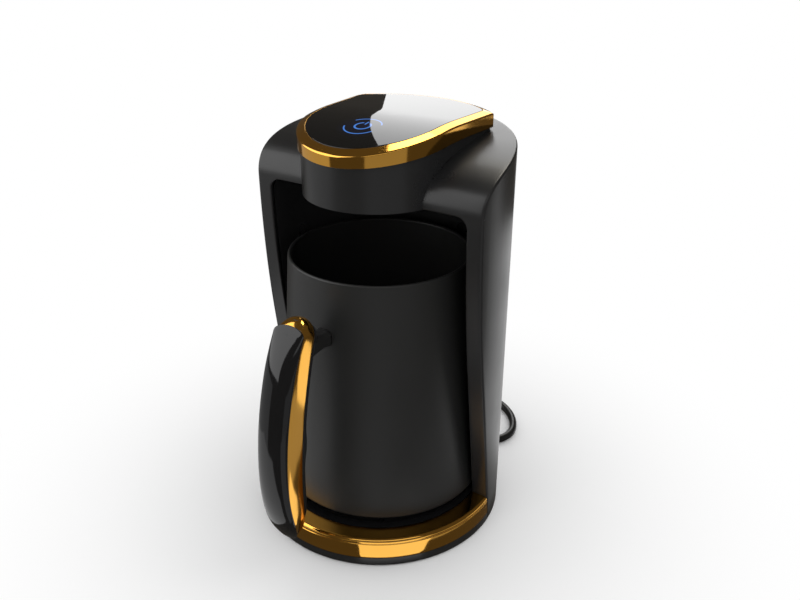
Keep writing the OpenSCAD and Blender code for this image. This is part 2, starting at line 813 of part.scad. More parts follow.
// Rounded plug: a waisted outline cut by an oval cross-section.
module plug_body() {
    color("#1d1d1d") translate(plug_at) rotate([-90, 0, 0]) {
        intersection() {
            translate([0, 0, -2]) linear_extrude(height = plug_l + 4) union() {
                square([plug_w + 8 - plug_t, plug_t], center = true);
                for (s = [-1, 1]) translate([s * (plug_w + 8 - plug_t) / 2, 0]) circle(d = plug_t);
            }
            rotate([90, 0, 0]) translate([0, 0, -plug_t]) linear_extrude(height = 2 * plug_t) polygon(concat(
                [[-lead_r - 1, 0], [lead_r + 1, 0]],
                [[lead_r + 2.5, 6]],
                arc(9, -60, 0, 6, [plug_w / 2 - 5, 16]),
                [[plug_w / 2 + 4, plug_l], [-plug_w / 2 - 4, plug_l]],
                arc(9, 180, 240, 6, [-plug_w / 2 + 5, 16]),
                [[-lead_r - 2.5, 6]]));
        }
    }
}

module plug_pins() {
    color(steel) translate(plug_at) rotate([-90, 0, 0])
        for (s = [-1, 1]) translate([s * pin_pitch / 2, 0, plug_l]) {
            cylinder(d = pin_d, h = pin_l - 1);
            translate([0, 0, pin_l - 1]) cylinder(d1 = pin_d, d2 = pin_d - 1.6, h = 1);
        }
}

// ---------- pot ----------

rim_r = 0.8;
pot_floor_t = 2;
pot_taper = (pot_foot_r - pot_rim_r) / pot_h;
function pot_r(z) = pot_foot_r - (z - pot_foot_z) * pot_taper;

module pot_body() {
    foot_round = 1.6;
    color(black) translate([0, pot_y, 0]) rotate_extrude($fn = 128) polygon(concat(
        [[0, pot_foot_z]],
        arc(foot_round, -90, 0, 5, [pot_foot_r - foot_round, pot_foot_z + foot_round]),
        arc(pot_wall / 2, 0, 180, 8, [pot_rim_r - pot_wall / 2, pot_rim_z - pot_wall / 2]),
        arc(6, 0, -90, 6, [pot_foot_r - pot_wall - 6.4, pot_foot_z + pot_floor_t + 6]),
        [[0, pot_foot_z + pot_floor_t]]));
}

module pot_disc() {
    color("#8f8f92") translate([0, pot_y, pot_disc_z]) difference() {
        cylinder(r = pot_foot_r - 5, h = pot_disc_t);
        translate([0, 0, -eps]) tube(pot_foot_r - 16, pot_foot_r - 17.2, eps + 0.5);
    }
}

// ---------- handle ----------

// The handle is drawn on a bent sheet: s runs down it from 0 to 1, x across it, and e goes from
// the front line (0) to the back line of the hoop (1).
grip_span = grip_top_z - grip_foot_z;
pot_face_y = pot_y - pot_r(grip_top_z - 0.2 * grip_span);
grip_back_y = pot_face_y - grip_reach;
front_hull = [
    [grip_back_y - 2.3, grip_top_z], [grip_back_y - 19.9, grip_top_z - 0.218 * grip_span],
    [grip_back_y - 34.9, grip_foot_z + 0.298 * grip_span], [grip_back_y - 15.2, grip_foot_z]];
rear_hull = [
    [grip_back_y + 4, grip_top_z - 3], [grip_back_y - 9, grip_top_z - 0.261 * grip_span],
    [grip_back_y - 18.2, grip_foot_z + 0.348 * grip_span], [grip_back_y - 12.1, grip_foot_z + 2]];
function grip_front(s) = bez(front_hull, s);
function grip_rear(s) = bez(rear_hull, s);

top_end = 8.5;                                  // length of the rounding at the upper tip
foot_end = 20;                                  // and at the lower tip
top_pace = 3 * norm(front_hull[1] - front_hull[0]);
foot_pace = 3 * norm(front_hull[3] - front_hull[2]);
end_steps = 9;
run_steps = 18;

// Stadium-like loop in (x, s), drawn in from the handle's outline by d.
function grip_loop(d) = let (
    w = grip_half_w - d,
    t0 = top_end / top_pace,
    f0 = 1 - foot_end / foot_pace,
    te = (top_end - d) / top_pace,
    fe = (foot_end - d) / foot_pace)
    concat(
        [for (i = [0:end_steps]) let (a = 90 - 90 * i / end_steps) [w * cos(a), t0 - te * sin(a)]],
        [for (i = [1:run_steps - 1]) [w, t0 + (f0 - t0) * i / run_steps]],
        [for (i = [0:2 * end_steps]) let (a = 90 * i / end_steps) [w * cos(a), f0 + fe * sin(a)]],
        [for (i = [1:run_steps - 1]) [-w, f0 + (t0 - f0) * i / run_steps]],
        [for (i = [0:end_steps - 1]) let (a = 180 - 90 * i / end_steps) [w * cos(a), t0 - te * sin(a)]]);

function on_sheet(p, e, out) = let (
    f = grip_front(p[1]),
    r = grip_rear(p[1]),
    q = f + (r - f) * e,
    n = unit(f - r))
    [p[0], q[0] + n[0] * out, q[1] + n[1] * out];

function grip_ring(d, e, out = 0) = [for (p = grip_loop(d)) on_sheet(p, e, out)];

module handle_trim() {
    color(gold) hoop([grip_ring(0.35, 0.0), grip_ring(0, 0.06), grip_ring(0, 0.94),
                      grip_ring(0.35, 1.0), grip_ring(hoop_t, 1.0), grip_ring(hoop_t, 0.0)]);
}

// The cover's crown thins out towards its foot and runs down to the hoop's edge at its top.
cover_top_s = 0.25;                             // share of the handle over which the crown rises
cover_foot_s = 0.72;
cover_top_share = 0.08;
cover_foot_loss = 0.6;
function ease(t) = t * t * (3 - 2 * t);
function fade(s) =
    (cover_top_share + (1 - cover_top_share) * ease(max(0, min(1, s / cover_top_s))))
    * (1 - cover_foot_loss * pow(max(0, s - cover_foot_s) / (1 - cover_foot_s), 2));
function cover_ring(share, rise) = [for (p = grip_loop(share * grip_half_w))
    on_sheet(p, 0, seat_gap + rise * cover_crown * fade(p[1]))];

module handle_cover() {
    color(gloss) loft([cover_ring(0.86, 1), cover_ring(0.66, 0.97), cover_ring(0.46, 0.87),
        cover_ring(0.28, 0.68), cover_ring(0.14, 0.45), cover_ring(0.05, 0.2), cover_ring(0.02, 0),
        grip_ring(hoop_t + fit, 0, seat_gap), grip_ring(hoop_t + fit, 0.28, 0)]);
}

// The grip's back has a low hump where the fingers rest.
hump_s = 0.59;
hump_w = 0.1;
hump_h = 1.3;
function hump(s) = abs(s - hump_s) < hump_w ? hump_h * pow(cos(90 * (s - hump_s) / hump_w), 2) : 0;
function grip_back_ring(d, share) = [for (p = grip_loop(d)) on_sheet(p, 1, -share * (grip_swell + hump(p[1])))];

screw_s = 0.17;                                 // place of the handle's screw along the grip
screw_z = grip_rear(screw_s)[1];
grip_screw_y = grip_rear(screw_s)[0] - 5.2;     // front of the screw's head, under the cover
grip_screw_head_h = 2;
grip_screw_l = 16;

module handle_grip() {
    d = hoop_t + fit;
    color(black) difference() {
        loft([grip_ring(d, 0.3), grip_ring(d, 1), grip_back_ring(d + 0.3, 0.45),
              grip_back_ring(d + 0.8, 0.82), grip_back_ring(d + 1.6, 1)]);
        translate([0, grip_screw_y + grip_screw_head_h, screw_z]) rotate([-90, 0, 0])
            cylinder(r = screw_r + screw_play, h = grip_screw_l + 4);
        translate([0, grip_screw_y - 10, screw_z]) rotate([-90, 0, 0])
            cylinder(r = screw_head_r + screw_play, h = grip_screw_head_h + 10);
    }
}

bracket_top = screw_z + bracket_h / 2;
bracket_foot = screw_z - bracket_h / 2;
bracket_line = [for (s = [0.02:0.01:0.5]) let (p = on_sheet([0, s], 1, -grip_swell - seat_gap))
    if (p[2] < bracket_top && p[2] > bracket_foot) [p[1], p[2]]];
pot_overlap = 12;

module handle_bracket() {
    // level block from the grip to a saddle on the pot's wall
    saddle_y = pot_y - pot_rim_r + pot_overlap;
    front = bracket_line[0][0];
    foot = bracket_line[len(bracket_line) - 1][0];
    color(black) difference() {
        along_x(concat([[front, bracket_top]], bracket_line,
            [[foot, bracket_foot], [saddle_y, bracket_foot], [saddle_y, bracket_top]]), bracket_w);
        translate([0, pot_y, pot_foot_z]) cylinder(r1 = pot_foot_r, r2 = pot_rim_r, h = pot_h);
        translate([0, front - 10, screw_z]) rotate([-90, 0, 0])
            cylinder(r = screw_r + screw_play, h = grip_screw_l + 4);
    }
}

module handle_screw() {
    color(steel) translate([0, grip_screw_y, screw_z]) rotate([-90, 0, 0]) {
        cylinder(r = screw_head_r, h = grip_screw_head_h);
        translate([0, 0, grip_screw_head_h]) cylinder(r = screw_r, h = grip_screw_l);
    }
}

// ---------- output ----------

outer_shell();
bay_liner();
head_housing();
panel_trim();
touch_panel();
light_guide();
touch_board();
touch_leds();
control_board();
board_parts();
board_screws();
buzzer();
ribbon_cable();
foam_sensor();
sensor_window();
base_deck();
base_trim();
heating_plate();
plate_seal();
heating_element();
element_terminals();
temperature_sensor();
thermal_fuse();
heater_wires();
bottom_cover();
foot_ring();
bottom_screws();
cord_gland();
power_cord();
cord_coil();
cord_tie();
cord_tail();
plug_body();
plug_pins();
pot_body();
pot_disc();
handle_bracket();
handle_screw();
handle_grip();
handle_trim();
handle_cover();
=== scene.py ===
"""Electric Turkish coffee maker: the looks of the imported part.

Lengths in the drawing helpers are millimetres, as in the part's own source; new_mesh() turns
them into metres. The front faces -Y, the origin lies on the body's axis at the table.
"""
import json
import math
import bpy
import numpy as np
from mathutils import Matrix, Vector


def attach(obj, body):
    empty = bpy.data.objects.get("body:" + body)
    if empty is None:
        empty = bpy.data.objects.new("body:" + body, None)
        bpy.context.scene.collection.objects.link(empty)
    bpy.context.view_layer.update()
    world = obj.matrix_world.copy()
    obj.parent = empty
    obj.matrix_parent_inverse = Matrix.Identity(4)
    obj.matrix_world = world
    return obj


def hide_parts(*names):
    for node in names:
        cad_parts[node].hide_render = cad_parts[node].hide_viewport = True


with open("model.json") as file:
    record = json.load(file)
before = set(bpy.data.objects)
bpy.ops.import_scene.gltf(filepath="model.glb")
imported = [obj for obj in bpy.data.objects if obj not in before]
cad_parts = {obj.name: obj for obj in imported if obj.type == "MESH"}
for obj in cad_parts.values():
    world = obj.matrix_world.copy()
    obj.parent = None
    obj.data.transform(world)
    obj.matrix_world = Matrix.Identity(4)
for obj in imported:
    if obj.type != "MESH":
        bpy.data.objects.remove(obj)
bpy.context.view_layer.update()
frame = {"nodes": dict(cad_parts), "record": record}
scene = bpy.context.scene

# ---------- sizes shared with the part (mm) ----------
BODY_R, WALL = 70.0, 2.5
DECK_Z, PLINTH_H, FOOT_H = 17.7, 5.5, 1.0
BAY_R, BAY_TOP, CORNER_R = 60.0, 187.8, 6.0
FRONT_Y, FRONT_FALL = 14.4, 20.9
SHOULDER_Z = BAY_TOP + 30.2
NOSE_R, HEAD_REAR_R, FLARE = 40.0, 61.0, math.radians(3.5)
HEAD_TOP, CROWN_R, CROWN_Y = BAY_TOP + 36.2, 176.0, 15.0
RING_H, RING_FOOT_R, RING_FOOT_Y = 7.0, 303.0, 27.0
RING_LAND, RING_RISE, RING_PROUD = 4.5, 1.4, 1.5
GLASS_T = 2.2
POT_Y, POT_FOOT_Z, POT_RIM_Z = 2.0, 20.9, 154.5
POT_FOOT_R, POT_RIM_R, POT_WALL = 58.5, 49.3, 2.0
GRIP_HALF_W, HOOP_T, COVER_CROWN, GRIP_SWELL = 9.2, 1.5, 4.2, 5.8
LEAD_D, EXIT = 5.0, (0.0, 94.0, 12.0)
COIL_AT, PLUG_AT = (-64.0, 82.0), (-93.0, 113.0, 10.1)
MARK_Y = 12.0
FIT, SEAT = 0.2, 0.05


# ---------- camera ----------
def make_camera():
    data = bpy.data.cameras.new("camera")
    cam = scene.camera = add_object("camera", data)
    cam.location = (0.22869, -0.33371, 0.31756)
    aim = Vector((-0.48883, 0.75896, -0.43014))
    cam.rotation_euler = aim.to_track_quat("-Z", "Y").to_euler()
    data.lens, data.sensor_width = 36.8, 36.0
    data.clip_start, data.clip_end = 0.02, 60.0


# ---------- curves ----------
def bez(p, t):
    """A cubic curve from its four control points, at the values t."""
    p = np.asarray(p, float)
    t = np.asarray(t, float)[..., None]
    s = 1 - t
    return s ** 3 * p[0] + 3 * s ** 2 * t * p[1] + 3 * s * t * t * p[2] + t ** 3 * p[3]


def turn_angles(n):
    """The angles of n even steps round a full turn."""
    return np.linspace(0, 2 * math.pi, n, endpoint=False)


def arc(r, a0, a1, n, c=(0.0, 0.0)):
    a = np.radians(np.linspace(a0, a1, n + 1))
    return np.stack([c[0] + r * np.cos(a), c[1] + r * np.sin(a)], 1)


def round_corners(points, radius, n=6):
    """A closed line with its corners rounded by circular-looking arcs of n steps."""
    pts = [np.asarray(p, float) for p in points]
    out = []
    for i, p in enumerate(pts):
        a, b = pts[i - 1] - p, pts[(i + 1) % len(pts)] - p
        la, lb = np.linalg.norm(a), np.linalg.norm(b)
        half = math.acos(max(-1, min(1, float(a @ b) / la / lb))) / 2
        cut = min(radius / math.tan(half), 0.48 * la, 0.48 * lb)
        s, e = p + a / la * cut, p + b / lb * cut
        k = 4 / 3 * math.tan((math.pi - 2 * half) / 4) * math.tan(half)
        out += list(bez([s, s + (p - s) * k, e + (p - e) * k, e], np.linspace(0, 1, n + 1)))
    return np.array(out)


# ---------- meshes ----------
def add_object(name, data):
    obj = bpy.data.objects.new(name, data)
    scene.collection.objects.link(obj)
    return obj


def new_mesh(name, verts, faces, material):
    """A mesh in metres from points in millimetres."""
    mesh = bpy.data.meshes.new(name)
    points = (np.asarray(verts, float) / 1000).tolist()
    mesh.from_pydata(points, [], [tuple(int(i) for i in f) for f in faces])
    mesh.materials.append(material)
    return mesh


def face_normal(verts, face):
    """A face's normal, as long as twice the face's area."""
    p = verts[list(face)]
    return sum(np.cross(p[i] - p[0], p[i + 1] - p[0]) for i in range(1, len(face) - 1))


def area_normals(verts, faces, leave_out=()):
    """Vertex normals weighted by face area, so that flat faces stay flat beside their fillets."""
    normals = np.zeros_like(verts)
    for k, f in enumerate(faces):
        if k not in leave_out:
            normals[list(f)] += face_normal(verts, f)
    return normals / np.maximum(np.linalg.norm(normals, axis=1, keepdims=True), 1e-12)


def put(name, verts, faces, material, body="machine", crease=None, flat=()):
    """A finished piece that rides on a body; flat names the faces with sharp borders."""
    verts = np.asarray(verts, float)
    mesh = new_mesh(name, verts, faces, material)
    mesh.update()
    mesh.polygons.foreach_set("use_smooth", [True] * len(mesh.polygons))
    if crease is None:
        soft = area_normals(verts, faces, flat)
        loops = []
        for k, f in enumerate(faces):
            n = face_normal(verts, f) if k in flat else None
            loops += [soft[i] if n is None else n / np.linalg.norm(n) for i in f]
        mesh.normals_split_custom_set([tuple(n) for n in loops])
    else:
        mesh.set_sharp_from_angle(angle=math.radians(crease))
    obj = add_object(name, mesh)
    if body:
        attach(obj, body)
    return obj


def grid_faces(m, n, close_m=False, close_n=False, flip=False):
    """Quads over an m by n net of points."""
    rows, cols = m if close_m else m - 1, n if close_n else n - 1
    out = []
    for i in range(rows):
        for j in range(cols):
            a, b = i * n + j, i * n + (j + 1) % n
            c, d = ((i + 1) % m) * n + (j + 1) % n, ((i + 1) % m) * n + j
            out.append((a, d, c, b) if flip else (a, b, c, d))
    return out


def weld(verts, faces, tol=1e-4):
    """Points that fall together become one, and faces that collapse are left out."""
    verts = np.asarray(verts, float)
    key = np.round(verts / tol).astype(np.int64)
    _, first, back = np.unique(key, axis=0, return_index=True, return_inverse=True)
    back = back.reshape(-1)
    out = []
    for f in faces:
        g = [int(back[i]) for i in f]
        g = [v for i, v in enumerate(g) if v != g[i - 1]]
        if len(set(g)) >= 3 and len(set(g)) == len(g):
            out.append(tuple(g))
    return verts[first], out


def skin(rings, close_rings=False, flip=False, cap=False):
    """A net over equal closed rings; cap closes the first and the last one to their middles."""
    rings = [np.asarray(r, float) for r in rings]
    m, n = len(rings), len(rings[0])
    verts = np.concatenate(rings)
    faces = grid_faces(m, n, close_rings, True, flip)
    if cap:
        for at, turn in ((0, True), ((m - 1) * n, False)):
            verts = np.vstack([verts, verts[at:at + n].mean(0)])
            mid = len(verts) - 1
            for j in range(n):
                a, b = at + j, at + (j + 1) % n
                f = (mid, a, b) if turn == flip else (mid, b, a)
                faces.append(f)
    return verts, faces


def zipped(rings):
    """A net over closed rings that are alike left and right of their first point, with both ends
    closed across from side to side."""
    verts, faces = skin(rings)
    n = len(rings[0])
    for at, turn in ((0, True), (len(verts) - n, False)):
        for j in range(n // 2):
            f = [j, j + 1, (n - j - 1) % n, (n - j) % n]
            f = [at + k for i, k in enumerate(f) if k != f[i - 1]]
            faces.append(tuple(f[::-1] if turn else f))
    return verts, faces


def revolve(profile, n, at=(0.0, 0.0)):
    """Turns an (r, z) line about a vertical axis; ends on the axis close to a pole."""
    p = np.asarray(profile, float)
    a = turn_angles(n)
    rings = [np.stack([at[0] + r * np.cos(a), at[1] + r * np.sin(a), np.full(n, z)], 1)
             for r, z in p]
    verts = np.concatenate(rings)
    return weld(verts, grid_faces(len(p), n, close_n=True))


def walled(verts, faces, depth):
    """A second skin behind the first, joined along the open edges, so that the piece is closed."""
    inner = verts - depth * area_normals(verts, faces)
    n = len(verts)
    once = {}
    for f in faces:
        for i, v in enumerate(f):
            once[(f[i - 1], v)] = once.get((f[i - 1], v), 0) + 1
    rim = [(a, b) for (a, b) in once if (b, a) not in once]
    used = [tuple(n + v for v in reversed(f)) for f in faces]
    walls = [(b, a, n + a, n + b) for a, b in rim]
    return np.vstack([verts, inner]), list(faces) + used + walls


def join_meshes(parts):
    verts, faces, at = [], [], 0
    for v, f in parts:
        verts.append(v)
        faces += [tuple(i + at for i in g) for g in f]
        at += len(v)
    return np.concatenate(verts), faces


def mirror_x(verts, faces):
    """The other side's half, with its faces turned back outwards."""
    return verts * np.array([-1.0, 1.0, 1.0]), [tuple(reversed(f)) for f in faces]


# ---------- materials ----------
def lin(code):
    """An sRGB hex colour as the linear numbers that shaders take."""
    out = []
    for i in (1, 3, 5):
        c = int(code[i:i + 2], 16) / 255
        out.append(c / 12.92 if c <= 0.04045 else ((c + 0.055) / 1.055) ** 2.4)
    return (*out, 1.0)


def feed(tree, node, inputs):
    """Sets a node's inputs: each is a plain value, a socket, or a node, which gives its first
    output."""
    for key, value in inputs.items():
        if isinstance(value, bpy.types.Node):
            value = value.outputs[0]
        if isinstance(value, bpy.types.NodeSocket):
            tree.links.new(value, node.inputs[key])
        else:
            node.inputs[key].default_value = value


def add(tree, kind, inputs=None, **settings):
    """A node with its settings and what feeds it."""
    node = tree.nodes.new(kind)
    for key, value in settings.items():
        setattr(node, key, value)
    feed(tree, node, inputs or {})
    return node


def bare_material(name):
    mat = bpy.data.materials.new(name)
    mat.use_nodes = True
    mat.node_tree.nodes.clear()
    return mat, mat.node_tree


def start(name, inputs):
    """A material with a Principled shader whose plain numbers sit on its own sockets."""
    mat, tree = bare_material(name)
    shader = add(tree, "ShaderNodeBsdfPrincipled", inputs)
    add(tree, "ShaderNodeOutputMaterial", {0: shader})
    coords = add(tree, "ShaderNodeTexCoord").outputs["Object"]
    return mat, tree, shader, coords


def uneven_finish(tree, shader, coords, size_mm, dark, light, low, high):
    """Colour and roughness that drift a little over the surface, in clouds of about size_mm."""
    cloud = add(tree, "ShaderNodeTexNoise", {"Vector": coords, "Scale": 1000 / size_mm,
                                             "Detail": 2.0, "Roughness": 0.5})
    colour = add(tree, "ShaderNodeMix", {"Factor": cloud, "A": lin(dark), "B": lin(light)},
                 data_type="RGBA")
    gloss = add(tree, "ShaderNodeMapRange", {"Value": cloud, "From Min": 0.3, "From Max": 0.7,
                                             "To Min": low, "To Max": high})
    feed(tree, shader, {"Base Color": colour.outputs["Result"], "Roughness": gloss})


def surface_grain(tree, shader, coords, size_mm, depth_mm, detail=2.0, rough=0.5):
    """Relief of depth_mm in cells of about size_mm."""
    cells = add(tree, "ShaderNodeTexNoise", {"Vector": coords, "Scale": 1000 / size_mm,
                                             "Detail": detail, "Roughness": rough})
    relief = add(tree, "ShaderNodeBump", {"Height": cells, "Distance": depth_mm / 1000})
    feed(tree, shader, {"Normal": relief})


def moulded(name, dark, light, rough, grain_mm, depth_mm):
    """Plastic or rubber from a mould: slightly uneven gloss and the mould's own grain, which is
    drawn a few times coarser than the real one so that it shows."""
    mat, tree, shader, coords = start(name, {"IOR": 1.5})
    uneven_finish(tree, shader, coords, 28.0, dark, light, rough - 0.03, rough + 0.03)
    surface_grain(tree, shader, coords, grain_mm, depth_mm, detail=3.0, rough=0.6)
    return mat


def metal(name, dark, light, rough, grain_mm, depth_mm, along=(1.0, 1.0, 1.0), spread=0.03):
    """Bare or coated metal with fine working marks, drawn out where along is under 1."""
    mat, tree, shader, coords = start(name, {"Metallic": 1.0})
    uneven_finish(tree, shader, coords, 16.0, dark, light, rough, rough + spread)
    drawn = add(tree, "ShaderNodeVectorMath", {0: coords, 1: along}, operation="MULTIPLY")
    surface_grain(tree, shader, drawn, grain_mm, depth_mm)
    return mat


def turned(name, dark, light, rough, pitch_mm, depth_mm, centre_y=0.0):
    """Metal faced on a lathe: fine rings round a vertical axis, drawn coarser than the real
    feed of the tool so that they show."""
    mat, tree, shader, coords = start(name, {"Metallic": 1.0})
    uneven_finish(tree, shader, coords, 12.0, dark, light, rough, rough + 0.06)
    flat = add(tree, "ShaderNodeVectorMath", {0: coords, 1: (0.0, -centre_y / 1000, 0.0)},
               operation="ADD")
    flat = add(tree, "ShaderNodeVectorMath", {0: flat, 1: (1.0, 1.0, 0.0)}, operation="MULTIPLY")
    reach = add(tree, "ShaderNodeVectorMath", {0: flat}, operation="LENGTH").outputs["Value"]
    turn = add(tree, "ShaderNodeMath", {0: reach, 1: 2 * math.pi * 1000 / pitch_mm},
               operation="MULTIPLY")
    rings = add(tree, "ShaderNodeMath", {0: turn}, operation="SINE")
    relief = add(tree, "ShaderNodeBump", {"Height": rings, "Distance": depth_mm / 1000,
                                          "Strength": 0.6})
    feed(tree, shader, {"Normal": relief})
    return mat


def coated_pot():
    """Sprayed high-temperature coating on cast aluminium: matt black with a soft orange peel."""
    mat, tree, shader, coords = start("sprayed_matt_black_coating", {"IOR": 1.5})
    uneven_finish(tree, shader, coords, 34.0, "#1d1d1d", "#212120", 0.40, 0.46)
    peel, fine = (add(tree, "ShaderNodeTexNoise", {"Vector": coords, "Scale": 1000 / size_mm,
                                                   "Detail": 2.0, "Roughness": rough})
                  for size_mm, rough in ((1.1, 0.5), (0.22, 0.6)))
    height = add(tree, "ShaderNodeMath", {0: peel, 1: fine}, operation="ADD")
    relief = add(tree, "ShaderNodeBump", {"Height": height, "Distance": 0.006 / 1000})
    feed(tree, shader, {"Normal": relief})
    return mat


def touch_glass():
    """Black back-printed glass: it mirrors the room, and its lit touch mark is a ring between
    two open arcs."""
    mat, tree, shader, coords = start("black_printed_glass", {
        "IOR": 1.52, "Roughness": 0.02, "Base Color": lin("#0b0b0c")})
    # flat is the place on the panel in millimetres from the mark's middle
    flat = add(tree, "ShaderNodeVectorMath", {0: coords, 1: (0.0, MARK_Y / 1000, 0.0)},
               operation="ADD")
    flat = add(tree, "ShaderNodeVectorMath", {0: flat, 1: (1000.0, 1000.0, 0.0)},
               operation="MULTIPLY")
    reach = add(tree, "ShaderNodeVectorMath", {0: flat}, operation="LENGTH").outputs["Value"]
    x, y, _ = add(tree, "ShaderNodeSeparateXYZ", {0: flat}).outputs

    def band(value, middle, half, edge):
        """1 where value lies within half of the middle, falling to 0 over the edge."""
        off = add(tree, "ShaderNodeMath", {0: value, 1: middle}, operation="SUBTRACT")
        off = add(tree, "ShaderNodeMath", {0: off}, operation="ABSOLUTE")
        return add(tree, "ShaderNodeMapRange", {"Value": off, "From Min": half,
                                                "From Max": half + edge,
                                                "To Min": 1.0, "To Max": 0.0})

    def sector(direction, half_angle):
        """1 within half_angle of a direction from the mark's middle, in degrees."""
        a, edge = math.radians(direction), math.cos(math.radians(half_angle))
        across = add(tree, "ShaderNodeMath", {0: x, 1: math.cos(a)}, operation="MULTIPLY")
        up = add(tree, "ShaderNodeMath", {0: y, 1: math.sin(a)}, operation="MULTIPLY")
        along = add(tree, "ShaderNodeMath", {0: across, 1: up}, operation="ADD")
        safe = add(tree, "ShaderNodeMath", {0: reach, 1: 0.001}, operation="MAXIMUM")
        cosine = add(tree, "ShaderNodeMath", {0: along, 1: safe}, operation="DIVIDE")
        return add(tree, "ShaderNodeMapRange", {"Value": cosine, "From Min": edge - 0.03,
                                                "From Max": edge + 0.03,
                                                "To Min": 0.0, "To Max": 1.0})

    gap = add(tree, "ShaderNodeMath", {0: 1.0, 1: sector(90.0, 24.0)}, operation="SUBTRACT")
    inner = add(tree, "ShaderNodeMath", {0: band(reach, 4.0, 0.42, 0.22), 1: gap},
                operation="MULTIPLY")
    arcs = add(tree, "ShaderNodeMath", {0: sector(-95.0, 68.0), 1: sector(85.0, 62.0)},
               operation="MAXIMUM")
    arcs = add(tree, "ShaderNodeMath", {0: band(reach, 9.3, 0.28, 0.22), 1: arcs},
               operation="MULTIPLY")
    stem = add(tree, "ShaderNodeMath", {0: band(x, 0.0, 0.35, 0.2), 1: band(y, 3.6, 1.8, 0.2)},
               operation="MULTIPLY")
    mark = add(tree, "ShaderNodeMath", {0: inner, 1: arcs}, operation="MAXIMUM")
    mark = add(tree, "ShaderNodeMath", {0: mark, 1: stem}, operation="MAXIMUM")
    glow = add(tree, "ShaderNodeMapRange", {"Value": reach, "From Min": 2.0, "From Max": 13.5,
                                            "To Min": 0.035, "To Max": 0.0})
    power = add(tree, "ShaderNodeMath", {0: mark, 1: glow}, operation="MAXIMUM")
    colour = add(tree, "ShaderNodeMix", {"Factor": mark, "A": lin("#1238a0"),
                                         "B": lin("#467fd2")}, data_type="RGBA")
    feed(tree, shader, {"Emission Color": colour.outputs["Result"], "Emission Strength": power})
    surface_grain(tree, shader, coords, 45.0, 0.004, detail=1.0)
    return mat


def laminate():
    """Solder-masked circuit board: green, with faint copper tracks under the lacquer."""
    mat, tree, shader, coords = start("solder_masked_laminate", {"IOR": 1.5, "Roughness": 0.35})
    # 260 cells to the metre leave about 4 mm between tracks
    tracks = add(tree, "ShaderNodeTexVoronoi", {"Vector": coords, "Scale": 260.0},
                 feature="DISTANCE_TO_EDGE", distance="EUCLIDEAN").outputs["Distance"]
    line = add(tree, "ShaderNodeMapRange", {"Value": tracks, "From Min": 0.03, "From Max": 0.06,
                                            "To Min": 1.0, "To Max": 0.0})
    colour = add(tree, "ShaderNodeMix", {"Factor": line, "A": lin("#16452c"),
                                         "B": lin("#2a6b44")}, data_type="RGBA")
    relief = add(tree, "ShaderNodeBump", {"Height": line, "Distance": 0.02 / 1000})
    feed(tree, shader, {"Base Color": colour.outputs["Result"], "Normal": relief})
    return mat


def studio_floor():
    """A plain pale studio floor that runs out to white away from the object."""
    mat, tree, shader, coords = start("studio_floor", {
        "IOR": 1.45, "Roughness": 0.6, "Base Color": lin("#fcfcfc"), "Specular IOR Level": 0.1})
    near, far = 0.085, 0.26                           # the fade's start and end, from the axis
    reach = add(tree, "ShaderNodeVectorMath", {0: coords}, operation="LENGTH").outputs["Value"]
    fade = add(tree, "ShaderNodeMapRange", {"Value": reach, "From Min": near, "From Max": far},
               interpolation_type="SMOOTHSTEP")
    rays = add(tree, "ShaderNodeLightPath").outputs
    seen = add(tree, "ShaderNodeMath", {0: rays["Is Camera Ray"], 1: rays["Is Glossy Ray"]},
               operation="MAXIMUM")
    seen = add(tree, "ShaderNodeMath", {0: seen, 1: rays["Is Transmission Ray"]},
               operation="MAXIMUM")
    fade = add(tree, "ShaderNodeMath", {0: fade, 1: seen}, operation="MULTIPLY")
    white = add(tree, "ShaderNodeEmission", {"Color": (1, 1, 1, 1), "Strength": 1.0})
    mix = add(tree, "ShaderNodeMixShader", {0: fade, 1: shader, 2: white})
    feed(tree, next(n for n in tree.nodes if n.type == "OUTPUT_MATERIAL"), {0: mix})
    return mat


